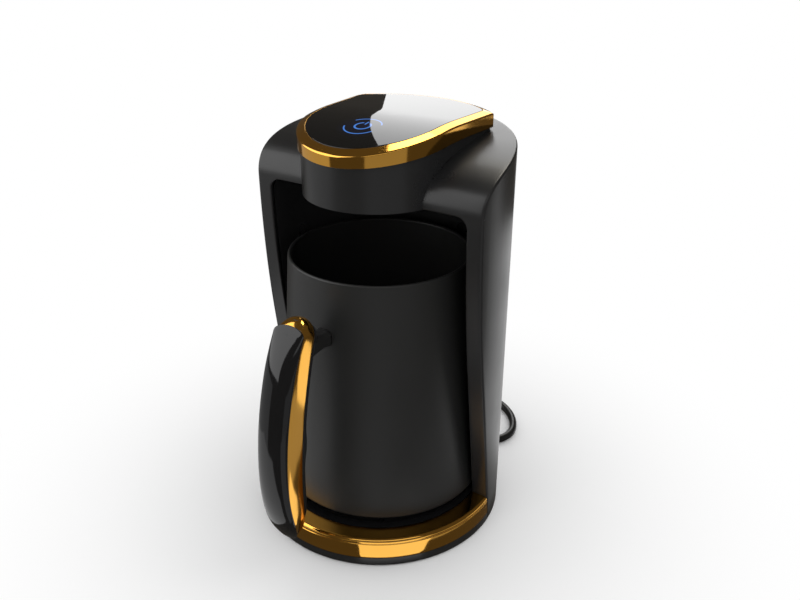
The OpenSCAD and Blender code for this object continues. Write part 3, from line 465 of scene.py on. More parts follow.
def make_materials():
    return {
        # fine-eroded moulded ABS of the casings and the grip: satin black, soft wide highlights
        "housing": moulded("eroded_black_abs", "#1d1d1e", "#212121", 0.3, 0.35, 0.003),
        # polished moulded ABS of the deck, the handle's cover and the plug: deep black that
        # mirrors what stands round it
        "gloss_black": moulded("polished_black_abs", "#101011", "#141415", 0.07, 6.0, 0.002),
        # polished and gold-anodised aluminium: a warm mirror, brown where the dark stands in it
        "gold": metal("gold_anodised_aluminium", "#f5b54f", "#fabc57", 0.09, 2.5, 0.0006,
                      spread=0.02),
        "panel_glass": touch_glass(),
        # cast aluminium turned on a lathe: dark, with rings that fan out each highlight
        "plate_metal": turned("turned_dark_aluminium", "#3c3c3e", "#4a4a4c", 0.34, 0.5, 0.01),
        "pot_metal": coated_pot(),
        # bright-turned aluminium of the disc under the pot: pale rings round the pot's axis
        "disc_metal": turned("turned_bright_aluminium", "#8d8d90", "#a0a0a3", 0.26, 0.45, 0.01,
                             POT_Y),
        # moulded elastomer of the feet, gland and tie: dull black, hardly a highlight
        "soft_black": moulded("moulded_elastomer", "#1c1c1d", "#212122", 0.62, 0.5, 0.02),
        # extruded sheath of the mains lead: black with one soft line of light along it
        "cable": moulded("extruded_cable_sheath", "#121213", "#161617", 0.33, 0.9, 0.01),
        # moulded silicone of the plate's seal: dull brick red
        "silicone": moulded("red_silicone", "#7c2a1e", "#8a3324", 0.5, 0.8, 0.01),
        # zinc-plated steel of the screws and terminals: pale grey with a soft sheen
        "screw_steel": metal("zinc_plated_steel", "#9c9da0", "#b4b5b8", 0.28, 0.5, 0.004),
        # drawn and nickel-plated brass of the plug's pins: warm grey with marks along the pin
        "pin_metal": metal("nickel_plated_brass", "#b3aca0", "#c4bdb2", 0.2, 0.8, 0.002,
                           along=(1.0, 0.15, 1.0)),
        # heat-tinted steel sheath of the heating element: brownish grey and dull
        "element_metal": metal("heat_tinted_sheath", "#6a5f55", "#7c7266", 0.42, 0.7, 0.006),
        # glazed ceramic of the lamps, heat sensor and fuse: off-white with clean highlights
        "ceramic_white": moulded("glazed_white_ceramic", "#dcd8cc", "#e6e3d9", 0.22, 3.0, 0.004),
        "circuit_board": laminate(),
        # moulded bodies of the boards' parts: blue-black and matt
        "board_part": moulded("moulded_component", "#20242e", "#2a2f3b", 0.45, 0.4, 0.008),
        # milky moulded light guide: pale blue and even
        "light_diffuser": moulded("milky_light_guide", "#d9e6f2", "#e4eef7", 0.3, 1.2, 0.006),
        # infrared-pass window of the level sensor: glossy red, close to black
        "sensor_tint": moulded("infrared_window", "#2c0c0c", "#361010", 0.1, 3.0, 0.002),
        # woven glass-fibre sleeve of the wires: off-white, dull and a little rough
        "wire_sleeve": moulded("glass_fibre_sleeve", "#b9b8b2", "#c9c8c2", 0.7, 0.4, 0.05),
    }


# ---------- shared outlines of the part (mm) ----------
CURVE_Z = BAY_TOP * 0.55
FALL_A = math.atan(FRONT_FALL / (CURVE_Z + (BAY_TOP - CURVE_Z) / 2))
FACE_R = (BAY_TOP - CURVE_Z) / math.sin(FALL_A)


def face_y(z):
    """Front face at height z: a straight slope, then an arc that ends upright at the ceiling."""
    z = np.asarray(z, float)
    s = np.clip((BAY_TOP - z) / FACE_R, 0.0, math.sin(FALL_A))
    on_arc = -FRONT_Y + FACE_R * (1 - np.sqrt(1 - s * s))
    start_y = -FRONT_Y + FACE_R * (1 - math.cos(FALL_A))
    slope = (FRONT_FALL - FRONT_Y - start_y) / CURVE_Z
    return np.where(z < CURVE_Z, start_y + slope * (CURVE_Z - z), on_arc)


def shoulder_curve():
    """The shoulders' side view as (y, z), from over the opening to the back."""
    p = [[-FRONT_Y, BAY_TOP + 1], [-FRONT_Y, BAY_TOP + 18.0], [6.1, BAY_TOP + 25.1],
         [BODY_R, SHOULDER_Z]]
    return bez(p, np.linspace(0, 1, 400))


def falling_arc(y, top, radius, peak):
    """A side view that is level behind y = peak and falls forwards from it along an arc."""
    y = np.minimum(np.asarray(y, float), peak)
    return top - radius + np.sqrt(radius ** 2 - (peak - y) ** 2)


def crown_z(y):
    """The head's crown, on which the gold ring's outer edge lies."""
    return falling_arc(y, HEAD_TOP, CROWN_R, CROWN_Y)


def ring_low_z(y):
    """The foot of the gold ring's wall."""
    return falling_arc(y, HEAD_TOP - RING_H, RING_FOOT_R, RING_FOOT_Y)


def head_loop(d):
    """The head's plan drawn in by d: nose circle, flared sides, rounded rear corners, rear arc."""
    nose, side, corner, rear = 72, 16, 7, 30          # steps along each of them

    def begin(e):
        return (NOSE_R - e) * np.array([math.cos(FLARE), -math.sin(FLARE)])
    way = np.array([math.sin(FLARE), math.cos(FLARE)])
    r = 0.4 + 1.25 * d
    e = d + r
    c = begin(e) + way * math.sqrt((HEAD_REAR_R - e) ** 2 - (NOSE_R - e) ** 2)
    run = (c - begin(e)) / side
    a = math.atan2(c[1], c[0])
    right = [begin(d) + run * i for i in range(1, side + 1)]
    right += [c + r * np.array([math.cos(t), math.sin(t)])
              for t in np.linspace(-FLARE, a, corner + 1)[1:]]
    right = np.array(right)
    nose_pts = arc(NOSE_R - d, 180 + math.degrees(FLARE), 360 - math.degrees(FLARE), nose)
    back = arc(HEAD_REAR_R - d, math.degrees(a), 180 - math.degrees(a), rear)[1:-1]
    return np.concatenate([nose_pts, right, back, right[::-1] * [-1, 1]])


def inside_head(p, d):
    """Whether a point lies inside the head's plan drawn in by d."""
    x, y = abs(p[0]), p[1]
    along = x * math.cos(FLARE) - y * math.sin(FLARE)
    reach = math.hypot(x, y)
    return reach < HEAD_REAR_R - d and (reach < NOSE_R - d or (y > -2 and along < NOSE_R - d))


# ---------- housing ----------
def soft_edge(a, corner, b):
    """Three points of a rounded edge between a and b whose tangents meet at the corner."""
    t = np.linspace(0, 1, 5)[1:-1, None]
    return (1 - t) ** 2 * a + 2 * t * (1 - t) * corner + t * t * b


def make_shell(mat):
    """The housing's outer skin as one net: front face, shoulders, rounded edges and round wall."""
    edge, lip = 1.2, 0.8                      # fillets of the outer edge and of the bay opening
    c_x, c_z, c_r = BAY_R - CORNER_R, BAY_TOP - CORNER_R, CORNER_R + lip
    z_face = np.concatenate([np.linspace(FOOT_H, CURVE_Z, 8)[:-1],
                             np.linspace(CURVE_Z, c_z, 16)[:-1],
                             c_z + c_r * np.sin(np.radians(np.arange(0, 91, 15)))])
    face = np.stack([face_y(z_face), z_face], 1)
    curve = shoulder_curve()
    rear_a = math.degrees(math.asin(face[0, 0] / BODY_R))
    y_back = BODY_R * np.sin(np.radians(np.linspace(rear_a, 90, 30)[1:]))
    y_up = np.concatenate([face[::-1, 0], y_back])
    shoulder = np.stack([y_up, np.interp(y_up, curve[:, 0], curve[:, 1])], 1)
    rows = np.concatenate([face, shoulder])
    nf, ns = len(face), len(shoulder)
    tang = np.gradient(rows, axis=0)
    tang[:nf + 8] = np.gradient(rows[:nf + 8] + np.outer(np.arange(nf + 8), [0, 1e-4]), axis=0)
    tang /= np.maximum(np.linalg.norm(tang, axis=1, keepdims=True), 1e-9)
    normal = np.stack([-tang[:, 1], tang[:, 0]], 1)

    half = np.sqrt(np.maximum(BODY_R ** 2 - rows[:, 0] ** 2, 0))
    inset = np.minimum(edge, 0.45 * half)
    reach = half - inset
    by = np.minimum(rows[:, 0] - inset * normal[:, 0], BODY_R)
    by[:nf] = np.maximum.accumulate(by[:nf][::-1])[::-1]     # the wall's columns never cross
    by[nf:] = np.maximum.accumulate(by[nf:])
    bz = rows[:, 1] - inset * normal[:, 1]
    bx = np.sqrt(np.maximum(BODY_R ** 2 - by ** 2, 0))
    wall_edge = np.stack([bx, by, bz], 1)

    # sheet columns: u runs from the middle to the edge, the first ones only above the opening
    first, steps = 18, 22                     # columns over the opening, steps up the round wall
    u0 = c_x / reach[nf - 1]
    u = np.concatenate([np.linspace(0, u0, first + 1), np.linspace(u0, 1, 6)[1:]])
    verts, faces, ids = [], [], {}
    for i, (y, z) in enumerate(rows):
        if i < nf:
            drop = max(z - c_z, 0.0)
            x_in = c_x + math.sqrt(max(c_r ** 2 - drop ** 2, 0)) if drop > 0 else BAY_R + lip
        for j, k in enumerate(u):
            if i < nf - 1 and j < first:
                continue
            x = x_in + (reach[i] - x_in) * (k - u0) / (1 - u0) if i < nf - 1 else k * reach[i]
            ids[i, j] = len(verts)
            verts.append((x, y, z))
    for i in range(len(rows) - 1):
        for j in range(len(u) - 1):
            q = [(i, j), (i, j + 1), (i + 1, j + 1), (i + 1, j)]
            if all(k in ids for k in q):
                faces.append(tuple(ids[k] for k in q))
    parts = [(np.array(verts), faces)]

    # rounded edge between the sheet and the wall
    a = np.stack([reach, rows[:, 0], rows[:, 1]], 1)
    corner = np.stack([half, rows[:, 0], rows[:, 1]], 1)
    strip = [np.vstack([a[i], soft_edge(a[i], corner[i], wall_edge[i]), wall_edge[i]])
             for i in range(len(rows))]
    parts.append((np.concatenate(strip), grid_faces(len(rows), 5)))

    # round wall: columns run up the cylinder from the face's edge or the foot to the shoulder
    cols = []
    for i in range(ns):
        top = wall_edge[nf + i]
        low = wall_edge[nf - 1 - i] if i < nf else np.array([0, top[1], FOOT_H])
        t = np.linspace(0, 1, steps + 1)[:, None]
        p = low * (1 - t) + top * t
        p[:, 0] = np.sqrt(np.maximum(BODY_R ** 2 - p[:, 1] ** 2, 0))
        cols.append(p)
    parts.append((np.concatenate(cols), grid_faces(ns, steps + 1, flip=True)))

    # rounded rim of the bay opening and the short jamb behind it
    rim = []
    for i in range(nf):
        at = verts[ids[i, first]]
        out = np.array([c_x - at[0], 0, c_z - at[2]]) if at[2] > c_z else np.array([-1.0, 0, 0])
        rim.append((np.array(at), out / np.linalg.norm(out)))
    for j in range(first - 1, -1, -1):
        rim.append((np.array(verts[ids[nf - 1, j]]), np.array([0, 0, -1.0])))
    strip = []
    for at, out in rim:
        q = at + lip * out
        q[1] = face_y(q[2])
        b, back = q + [0, lip, 0], q + [0, WALL, 0]
        strip.append(np.vstack([at, soft_edge(at, q, b), b, back]))
    parts.append((np.concatenate(strip), grid_faces(len(strip), 6, flip=True)))

    verts, faces = join_meshes(parts)
    verts, faces = weld(*join_meshes([(verts, faces), mirror_x(verts, faces)]), tol=2e-3)
    faces = [f for f in faces if not (verts[list(f)][:, 2].min() > BAY_TOP + 3
                                      and all(inside_head(verts[k], 3.0) for k in f))]
    depth = WALL - 0.5
    verts, faces = walled(verts, faces, depth)
    # the inner skin stays inside the round wall, also behind its thinnest slivers
    inner = verts[len(verts) // 2:]
    reach = np.hypot(inner[:, 0], inner[:, 1])
    pull = np.where(reach > BODY_R - 0.3, (BODY_R - depth) / np.maximum(reach, 1), 1)
    inner[:, :2] *= pull[:, None]
    return put("outer_shell_skin", verts, faces, mat)


# ---------- head ----------
def head_ring(plan, height, dz):
    """The plan lifted to a height that depends on y, plus dz."""
    return np.column_stack([plan, height(plan[:, 1]) + dz])


def make_ring(mat):
    """The gold ring: its wall stands on a foot line of its own, and its land rises inwards."""
    inner, seat = RING_PROUD + 1.3, RING_RISE - GLASS_T
    foot = [head_ring(head_loop(d), ring_low_z, dz)
            for d, dz in ((inner, 0), (0.12, 0), (0.0, 0.12))]
    section = [(0.0, -0.55), (0.12, -0.22), (0.45, 0.02), (0.75, 0.17),
               (RING_LAND - 0.18, RING_RISE - 0.03), (RING_LAND - 0.05, RING_RISE - 0.08),
               (RING_LAND, RING_RISE - 0.3), (RING_LAND, seat), (RING_LAND + 2, seat),
               (RING_LAND + 2, seat - 1.6), (inner, seat - 1.6)]
    rings = foot[1:] + [head_ring(head_loop(d), crown_z, dz) for d, dz in section] + foot[:1]
    return put("gold_ring", *skin(rings, close_rings=True), mat)


def make_glass(mat):
    """The touch glass follows the crown, with a polished edge inside the ring's land."""
    d = RING_LAND + 0.15

    def scaled(k, e, dz):
        centre = np.array([0.0, 6.0])
        return head_ring(centre + (head_loop(e) - centre) * k, crown_z, dz)
    rings = [scaled(k, d + 0.3, RING_RISE)
             for k in (0.1, 0.2, 0.3, 0.4, 0.5, 0.6, 0.7, 0.8, 0.88, 0.95, 0.985)]
    for e, dz in ((d + 0.3, 0.0), (d + 0.1, -0.06), (d, -0.3), (d, -GLASS_T)):
        rings.append(head_ring(head_loop(e), crown_z, RING_RISE + dz))
    rings += [scaled(k, d, RING_RISE - GLASS_T) for k in (0.98, 0.6, 0.2)]
    return put("touch_glass", *skin(rings, cap=True, flip=True), mat)


# ---------- base ----------
def make_lip(mat):
    """Gold lip: its section is carried round the front, and its ends follow the face line."""
    r0, top, crest = BODY_R - 0.1, DECK_Z, 2.0
    section = [(r0 - 2.2, PLINTH_H), (BODY_R - 0.25, PLINTH_H), (BODY_R, PLINTH_H + 0.25)]
    section += [(BODY_R, z) for z in np.linspace(PLINTH_H + 2, top - 3.3, 4)]
    section += [(BODY_R - 0.12, top - 3.1), (BODY_R - 0.34, top - 2.98), (r0 - 0.22, top - 2.6),
                (r0 - 0.06, top - 2.3)]
    section += list(arc(crest, 0, 90, 10, (r0 - crest, top - crest))[1:])
    section += [(BAY_R + 3, top), (BAY_R + 0.3, top), (BAY_R + 0.08, top - 0.08),
                (BAY_R, top - 0.3), (BAY_R, top - 1.5), (r0 - 2.2, top - 1.5)]
    m, n = len(section), 121
    rings = []
    for r, z in section:
        end = math.asin(max(-1, min(1, (float(face_y(z)) - FIT) / r)))
        a = np.linspace(math.pi - end, 2 * math.pi + end, n)
        rings.append(np.stack([r * np.cos(a), r * np.sin(a), np.full(n, z)], 1))
    faces = grid_faces(m, n, close_m=True)
    # each end closes with one flat face over the section
    faces += [tuple(i * n for i in range(m)), tuple(i * n + n - 1 for i in reversed(range(m)))]
    return put("gold_lip", np.concatenate(rings), faces, mat, flat={len(faces) - 2, len(faces) - 1})


# ---------- pot ----------
def make_pot(mat):
    """The tapered pot as one turned line: outside, rounded rim, inside and rounded floor."""
    foot_round, floor_round, mid = 1.6, 6, POT_WALL / 2
    foot, top, floor = POT_FOOT_Z + foot_round, POT_RIM_Z - mid, POT_FOOT_Z + 2.0
    inner_rim, inner_foot = POT_RIM_R - POT_WALL, POT_FOOT_R - POT_WALL - 0.4
    outside = [(0.0, POT_FOOT_Z), (20, POT_FOOT_Z), (40, POT_FOOT_Z)]
    outside += list(arc(foot_round, -90, 0, 7, (POT_FOOT_R - foot_round, foot)))
    outside += [(POT_FOOT_R - (z - foot) * (POT_FOOT_R - POT_RIM_R) / (top - foot), z)
                for z in np.linspace(foot, top, 26)[1:-1]]
    rim = list(arc(mid, 0, 180, 12, (POT_RIM_R - mid, top)))
    low = floor + floor_round
    inside = [(inner_rim + (top - z) * (inner_foot - inner_rim) / (top - low), z)
              for z in np.linspace(top, low, 20)[1:-1]]
    inside += list(arc(floor_round, 0, -90, 8, (inner_foot - floor_round, low)))
    inside += [(30, floor), (12, floor), (0.0, floor)]
    return put("pot_wall", *revolve(outside + rim + inside, 144, (0.0, POT_Y)), mat, body="pot")


# ---------- handle ----------
FRONT_HULL = [(-70.96, 145.0), (-88.56, 117.97), (-103.56, 57.95), (-83.86, 21.0)]
REAR_HULL = [(-64.66, 142.0), (-77.66, 112.64), (-86.86, 64.15), (-80.76, 23.0)]
TOP_END, FOOT_END, TOP_DROP = 8.5, 20.0, 4.6
TOP_PACE = 3 * math.dist(FRONT_HULL[0], FRONT_HULL[1])
FOOT_PACE = 3 * math.dist(FRONT_HULL[2], FRONT_HULL[3])


def grip_loop(d, drop=0.0):
    """The handle's outline on its bent sheet as (x, s), drawn in by d; drop flattens its top."""
    ends, run = 14, 44                                # steps of a quarter end and of a side
    w = GRIP_HALF_W - d
    t0, f0 = TOP_END / TOP_PACE, 1 - FOOT_END / FOOT_PACE
    te, fe = (TOP_END - d - drop) / TOP_PACE, (FOOT_END - d) / FOOT_PACE
    a = np.radians(np.linspace(90, 0, ends + 1))
    top = np.stack([w * np.cos(a), t0 - te * np.sin(a)], 1)
    k = np.arange(1, run) / run
    down = np.stack([np.full(run - 1, w), t0 + (f0 - t0) * k], 1)
    b = np.radians(np.linspace(0, 180, 2 * ends + 1))
    foot = np.stack([w * np.cos(b), f0 + fe * np.sin(b)], 1)
    up = np.stack([np.full(run - 1, -w), f0 + (t0 - f0) * k], 1)
    return np.concatenate([top, down, foot, up, (top[1:] * [-1, 1])[::-1]])


def on_sheet(p, e, out):
    """Points (x, s) on the sheet a share e of the way from the front hull to the rear one, moved
    forwards by out."""
    f, r = bez(FRONT_HULL, p[:, 1]), bez(REAR_HULL, p[:, 1])
    n = (f - r) / np.linalg.norm(f - r, axis=1, keepdims=True)
    q = f + (r - f) * e + n * np.asarray(out, float).reshape(-1, 1)
    return np.column_stack([p[:, 0], q])


def grip_ring(d, e, out=0.0, drop=0.0):
    return on_sheet(grip_loop(d, drop), e, out)


def back_ring(d, share):
    """The grip's swollen back, with a low finger hump a little below its middle."""
    middle, reach, height = 0.59, 0.1, 1.3            # shares of the grip's length, and mm
    p = grip_loop(d)
    near = np.abs(p[:, 1] - middle) < reach
    hump = np.where(near, height * np.cos(np.pi / 2 * (p[:, 1] - middle) / reach) ** 2, 0)
    return on_sheet(p, 1.0, -share * (GRIP_SWELL + hump))


def cover_ring(share, rise):
    """The crown thins out towards the foot and runs down to the hoop's edge at the top."""
    full_from, thin_from, thin_over = 0.25, 0.72, 0.28        # shares of the cover's length
    p = grip_loop(share * GRIP_HALF_W, TOP_DROP * (1 - share))
    t = np.clip(p[:, 1] / full_from, 0, 1)
    s = np.maximum(p[:, 1] - thin_from, 0) / thin_over
    fade = (0.08 + 0.92 * t * t * (3 - 2 * t)) * (1 - 0.6 * s * s)
    return on_sheet(p, 0.0, SEAT + rise * COVER_CROWN * fade)


def make_hoop(mat):
    rings = [grip_ring(d, e, 0, TOP_DROP * k) for d, e, k in
             ((HOOP_T - 0.1, 0.0, 1.0), (1.1, 0.004, 0.96), (0.95, 0.03, 0.88), (0.82, 0.08, 0.76),
              (0.66, 0.16, 0.59), (0.5, 0.26, 0.4), (0.36, 0.38, 0.22), (0.24, 0.5, 0.09),
              (0.14, 0.62, 0.02), (0.05, 0.8, 0.0), (0.0, 0.95, 0.0), (0.06, 0.99, 0.0),
              (0.15, 1.0, 0.0), (HOOP_T, 1.0, 0.0), (HOOP_T, 0.62, 0.0), (HOOP_T, 0.5, 0.09),
              (HOOP_T, 0.38, 0.22), (HOOP_T, 0.26, 0.4), (HOOP_T, 0.16, 0.59),
              (HOOP_T, 0.005, 1.0))]
    return put("gold_hoop", *skin(rings, close_rings=True), mat, body="pot")


def make_cover(mat):
    rings = []
    for share in (0.97, 0.9, 0.8, 0.7, 0.6, 0.5, 0.4, 0.31, 0.23, 0.16, 0.1, 0.055, 0.025, 0.008):
        rings.append(cover_ring(share, 0.98 * math.sqrt(1 - (1 - share) ** 2)))
    inner, drop = HOOP_T + FIT, TOP_DROP
    rings += [cover_ring(0.012, 0.02), grip_ring(0.4, 0, SEAT, drop),
              grip_ring(inner, 0, SEAT, drop), grip_ring(inner, 0.12, 0, drop),
              grip_ring(inner, 0.27, 0, drop), grip_ring(inner + 1, 0.28, 0, drop)]
    return put("handle_cover_gloss", *zipped(rings), mat, body="pot")


def make_grip(mat):
    d = HOOP_T + FIT
    rings = [grip_ring(d + 3, 0.3), grip_ring(d + 0.3, 0.3), grip_ring(d, 0.33), grip_ring(d, 0.6),
             grip_ring(d, 0.98)]
    for i in range(1, 9):
        a = math.radians(90 * i / 8)
        rings.append(back_ring(d + 1.5 * (1 - math.cos(a)), 0.02 + 0.98 * math.sin(a)))
    rings.append(back_ring(d + 3.5, 1.0))
    return put("handle_inner_grip", *zipped(rings), mat, body="pot")


def make_bracket(mat):
    """A block from the grip's back to a saddle on the pot's wall, thinned in its middle."""
    half_w, low, high = 5.7, 119.6, 131.4
    s = np.linspace(0.02, 0.5, 60)
    back = on_sheet(np.column_stack([np.zeros(60), s]), 1.0, -(GRIP_SWELL - 0.3))
    ring = round_corners([(-half_w, low), (half_w, low), (half_w, high), (-half_w, high)], 3.0)
    x, z = ring[:, 0], ring[:, 1]
    y0 = np.interp(-z, -back[:, 2], back[:, 1])
    cone = POT_FOOT_R - (z - POT_FOOT_Z) * (POT_FOOT_R - POT_RIM_R) / (POT_RIM_Z - POT_FOOT_Z)
    y1 = POT_Y - np.sqrt(cone ** 2 - x ** 2) + 0.15
    mid = (low + high) / 2
    rings = []
    for t in (0, 0.12, 0.25, 0.4, 0.55, 0.7, 0.82, 0.91, 1.0):
        thin = 1 - 0.36 * math.sin(math.pi / 2 * min(1, t / 0.8)) + 0.1 * max(0, t - 0.8) / 0.2
        rings.append(np.column_stack([x * (0.4 + 0.6 * thin), y0 + (y1 - y0) * t,
                                      mid - 1.6 * t + (z - mid) * thin]))
    return put("bracket_block", *skin(rings, cap=True, flip=True), mat, body="pot")


# ---------- mains lead ----------
LEAD_ROUTE = [(0, 94, 12), (0, 99, 11.8), (1.5, 105.5, 10.8), (5.5, 111.5, 8.8), (12, 115.8, 6),
              (20, 116.9, 3.6), (27.5, 114.3, 2.6), (34.5, 108.6, 2.6), (40.5, 100.5, 2.6),
              (44, 91, 2.6), (43.1, 82.3, 2.6), (38.7, 75.9, 2.6), (32.1, 71.9, 2.6),
              (24.5, 70.4, 2.6), (17, 71.3, 2.6), (8.5, 73.3, 2.6), (0, 74.6, 2.6),
              (-12, 74.4, 2.6), (-24, 72, 2.6), (-35.5, 67.4, 2.6)]
TAIL_ROUTE = [(-92, 90, 7.9), (-92.5, 98, 8.6), (-93, 106, 9.6), (-93, 112.7, 10.1)]
# turns of the coil as (angle, radius, height); the lead winds clockwise, two lanes wide and high
COIL_LANES = [(-50, 28, 2.6), (-340, 28, 2.6), (-405, 23, 2.6), (-630, 23, 2.6), (-700, 23, 7.6),
              (-905, 23, 7.6), (-985, 28, 7.6), (-1260, 28, 7.6)]


def catmull(points, n):
    """A smooth line through the points, with n steps to each span."""
    p = np.asarray(points, float)
    p = np.vstack([2 * p[0] - p[1], p, 2 * p[-1] - p[-2]])
    out = []
    for i in range(1, len(p) - 2):
        a, b, c, d = p[i - 1:i + 3]
        for t in np.arange(n) / n:
            out.append(0.5 * (2 * b + (c - a) * t + (2 * a - 5 * b + 4 * c - d) * t * t
                              + (3 * b - a - 3 * c + d) * t ** 3))
    return np.array(out + [p[-2]])


def lead_path():
    """The lead's middle line: its run from the gland, the coil's turns and the tail."""
    angles = np.arange(-50, -1261, -10)
    lanes = np.array(COIL_LANES, float)
    ease = []
    for a in angles:
        i = int(np.clip(np.searchsorted(-lanes[:, 0], -a, side="right") - 1, 0, len(lanes) - 2))
        t = (a - lanes[i, 0]) / (lanes[i + 1, 0] - lanes[i, 0])
        t = t * t * (3 - 2 * t)
        r, z = lanes[i, 1:] * (1 - t) + lanes[i + 1, 1:] * t
        ease.append((COIL_AT[0] + r * math.cos(math.radians(a)),
                     COIL_AT[1] + r * math.sin(math.radians(a)), z))
    head = catmull(LEAD_ROUTE + ease[:2], 4)[:-5]
    tail = catmull([ease[-2], ease[-1]] + TAIL_ROUTE, 4)[5:]
    return np.vstack([head, ease, tail])


def tube(path, radius):
    """Rings along a path, turned as little as possible from one to the next."""
    tang = np.gradient(path, axis=0)
    tang /= np.linalg.norm(tang, axis=1, keepdims=True)
    side = np.cross(tang[0], [0, 0, 1.0])
    a = turn_angles(14)
    rings = []
    for p, t in zip(path, tang):
        side = side - t * (side @ t)
        side /= np.linalg.norm(side)
        up = np.cross(side, t)
        rings.append(p + radius * (np.outer(np.cos(a), side) + np.outer(np.sin(a), up)))
    return rings


def make_lead(mat):
    path = lead_path()
    obj = put("mains_lead", *skin(tube(path, LEAD_D / 2), cap=True, flip=True), mat)
    length = float(np.linalg.norm(np.diff(path, axis=0), axis=1).sum()) / 1000
    return obj, path / 1000, length


def spin_y(profile, at, n):
    """Turns an (r, y) line about an axis that runs along +Y through a point."""
    verts, faces = revolve(profile, n)
    return verts[:, [0, 2, 1]] * [1, 1, -1] + np.asarray(at), faces


def make_gland(mat):
    line = [(2.6, -2.8), (4.3, -2.8), (4.4, -2.6), (4.4, -1.6), (4.4, 0.2), (5.7, 0.2), (6, 0.5),
            (6, 1.8), (5.7, 2.15), (5.0, 2.3), (4.5, 3.2), (4.25, 6), (3.9, 12), (3.5, 18),
            (3.25, 22.5), (3.15, 23.6), (2.9, 24), (2.55, 24)]
    return put("strain_relief", *spin_y(line, (0, BODY_R, EXIT[2]), 40), mat)


def make_plug(mat):
    """The plug's moulding as (y, half width, half height) rows, with three finger grooves."""
    cx, cy, cz = PLUG_AT
    rows = [(0, 2.7, 2.7), (0.3, 3.3, 3.3), (3, 3.9, 3.9), (6, 5.0, 4.8), (7.6, 8.2, 6.2),
            (9, 11.2, 7.4), (11, 13.8, 8.6), (14, 15.8, 9.4), (18, 16.8, 9.85)]
    for y in (19, 22.4, 25.8):
        rows += [(y, 16.9, 9.9), (y + 0.4, 16.5, 9.5), (y + 1.4, 16.5, 9.5), (y + 1.8, 16.9, 9.9)]
    rows += [(32.5, 16.9, 9.9), (33.6, 16.5, 9.5), (34, 15.8, 8.8)]
    a = turn_angles(48)
    c, s = np.cos(a), np.sin(a)
    power = 2 / 2.7
    rings = [np.stack([cx + w * np.sign(c) * np.abs(c) ** power, np.full(48, cy + y),
                       cz + t * np.sign(s) * np.abs(s) ** power], 1)
             for y, w, t in rows]
    return put("plug_moulding", *skin(rings, cap=True, flip=True), mat)


def make_pins(mat):
    line = [(0, 34.02), (2.2, 34.02), (2.38, 34.3), (2.38, 43), (2.3, 43.2), (2.3, 43.5),
            (2.38, 43.7), (2.38, 51.2), (2.2, 52.1), (1.6, 52.75), (0.8, 52.95), (0, 52.97)]
    both = [spin_y(line, (PLUG_AT[0] + s * 9.5, PLUG_AT[1], PLUG_AT[2]), 32) for s in (-1, 1)]
    return put("plug_round_pins", *join_meshes(both), mat)


def make_tie(mat):
    loop = round_corners([(-5.75, -5.0), (5.75, -5.0), (5.75, 5.75), (-5.75, 5.75)], 2.7)
    mid = np.array([0, 0.3])
    inner = mid + (loop - mid) * 0.91
    a = math.radians(200)
    radial = np.array([math.cos(a), math.sin(a), 0])
    along = np.array([-math.sin(a), math.cos(a), 0])
    at = np.array([COIL_AT[0], COIL_AT[1], 5.1]) + 25.5 * radial
    rings = []
    edge = loop * 0.985
    for w, line in ((-3.6, inner), (-3.95, edge), (-3.6, loop), (3.6, loop), (3.95, edge),
                    (3.6, inner)):
        rings.append(at + np.outer(line[:, 0], radial) + np.outer(line[:, 1], [0, 0, 1.0])
                     + w * along)
    return put("hook_and_loop_tie", *skin(rings, close_rings=True), mat)


# ---------- repeated pieces by geometry nodes ----------
def node_tree(name, sockets):
    tree = bpy.data.node_groups.new(name, "GeometryNodeTree")
    for label, kind, value in sockets:
        item = tree.interface.new_socket(label, in_out="INPUT", socket_type=kind)
        if value is not None:
            item.default_value = value
    tree.interface.new_socket("Geometry", in_out="OUTPUT", socket_type="NodeSocketGeometry")
    return tree, add(tree, "NodeGroupInput").outputs, add(tree, "NodeGroupOutput")


def run_tree(name, tree, mat, body, **values):
    """The tree's result as a plain mesh object."""
    holder = add_object(name + "_holder", bpy.data.meshes.new(name + "_holder"))
    mod = holder.modifiers.new("repeat", "NODES")
    mod.node_group = tree
    for item in tree.interface.items_tree:
        if item.name in values:
            mod[item.identifier] = values[item.name]
    graph = bpy.context.evaluated_depsgraph_get()
    mesh = bpy.data.meshes.new_from_object(holder.evaluated_get(graph), depsgraph=graph)
    mesh.name = name
    mesh.materials.clear()
    mesh.materials.append(mat)
    bpy.data.objects.remove(holder)
    obj = add_object(name, mesh)
    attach(obj, body)
    return obj


def finish_tree(tree, out, geometry, mat):
    real = add(tree, "GeometryNodeRealizeInstances", {0: geometry})
    done = add(tree, "GeometryNodeSetMaterial", {"Geometry": real, "Material": mat})
    feed(tree, out, {0: done})


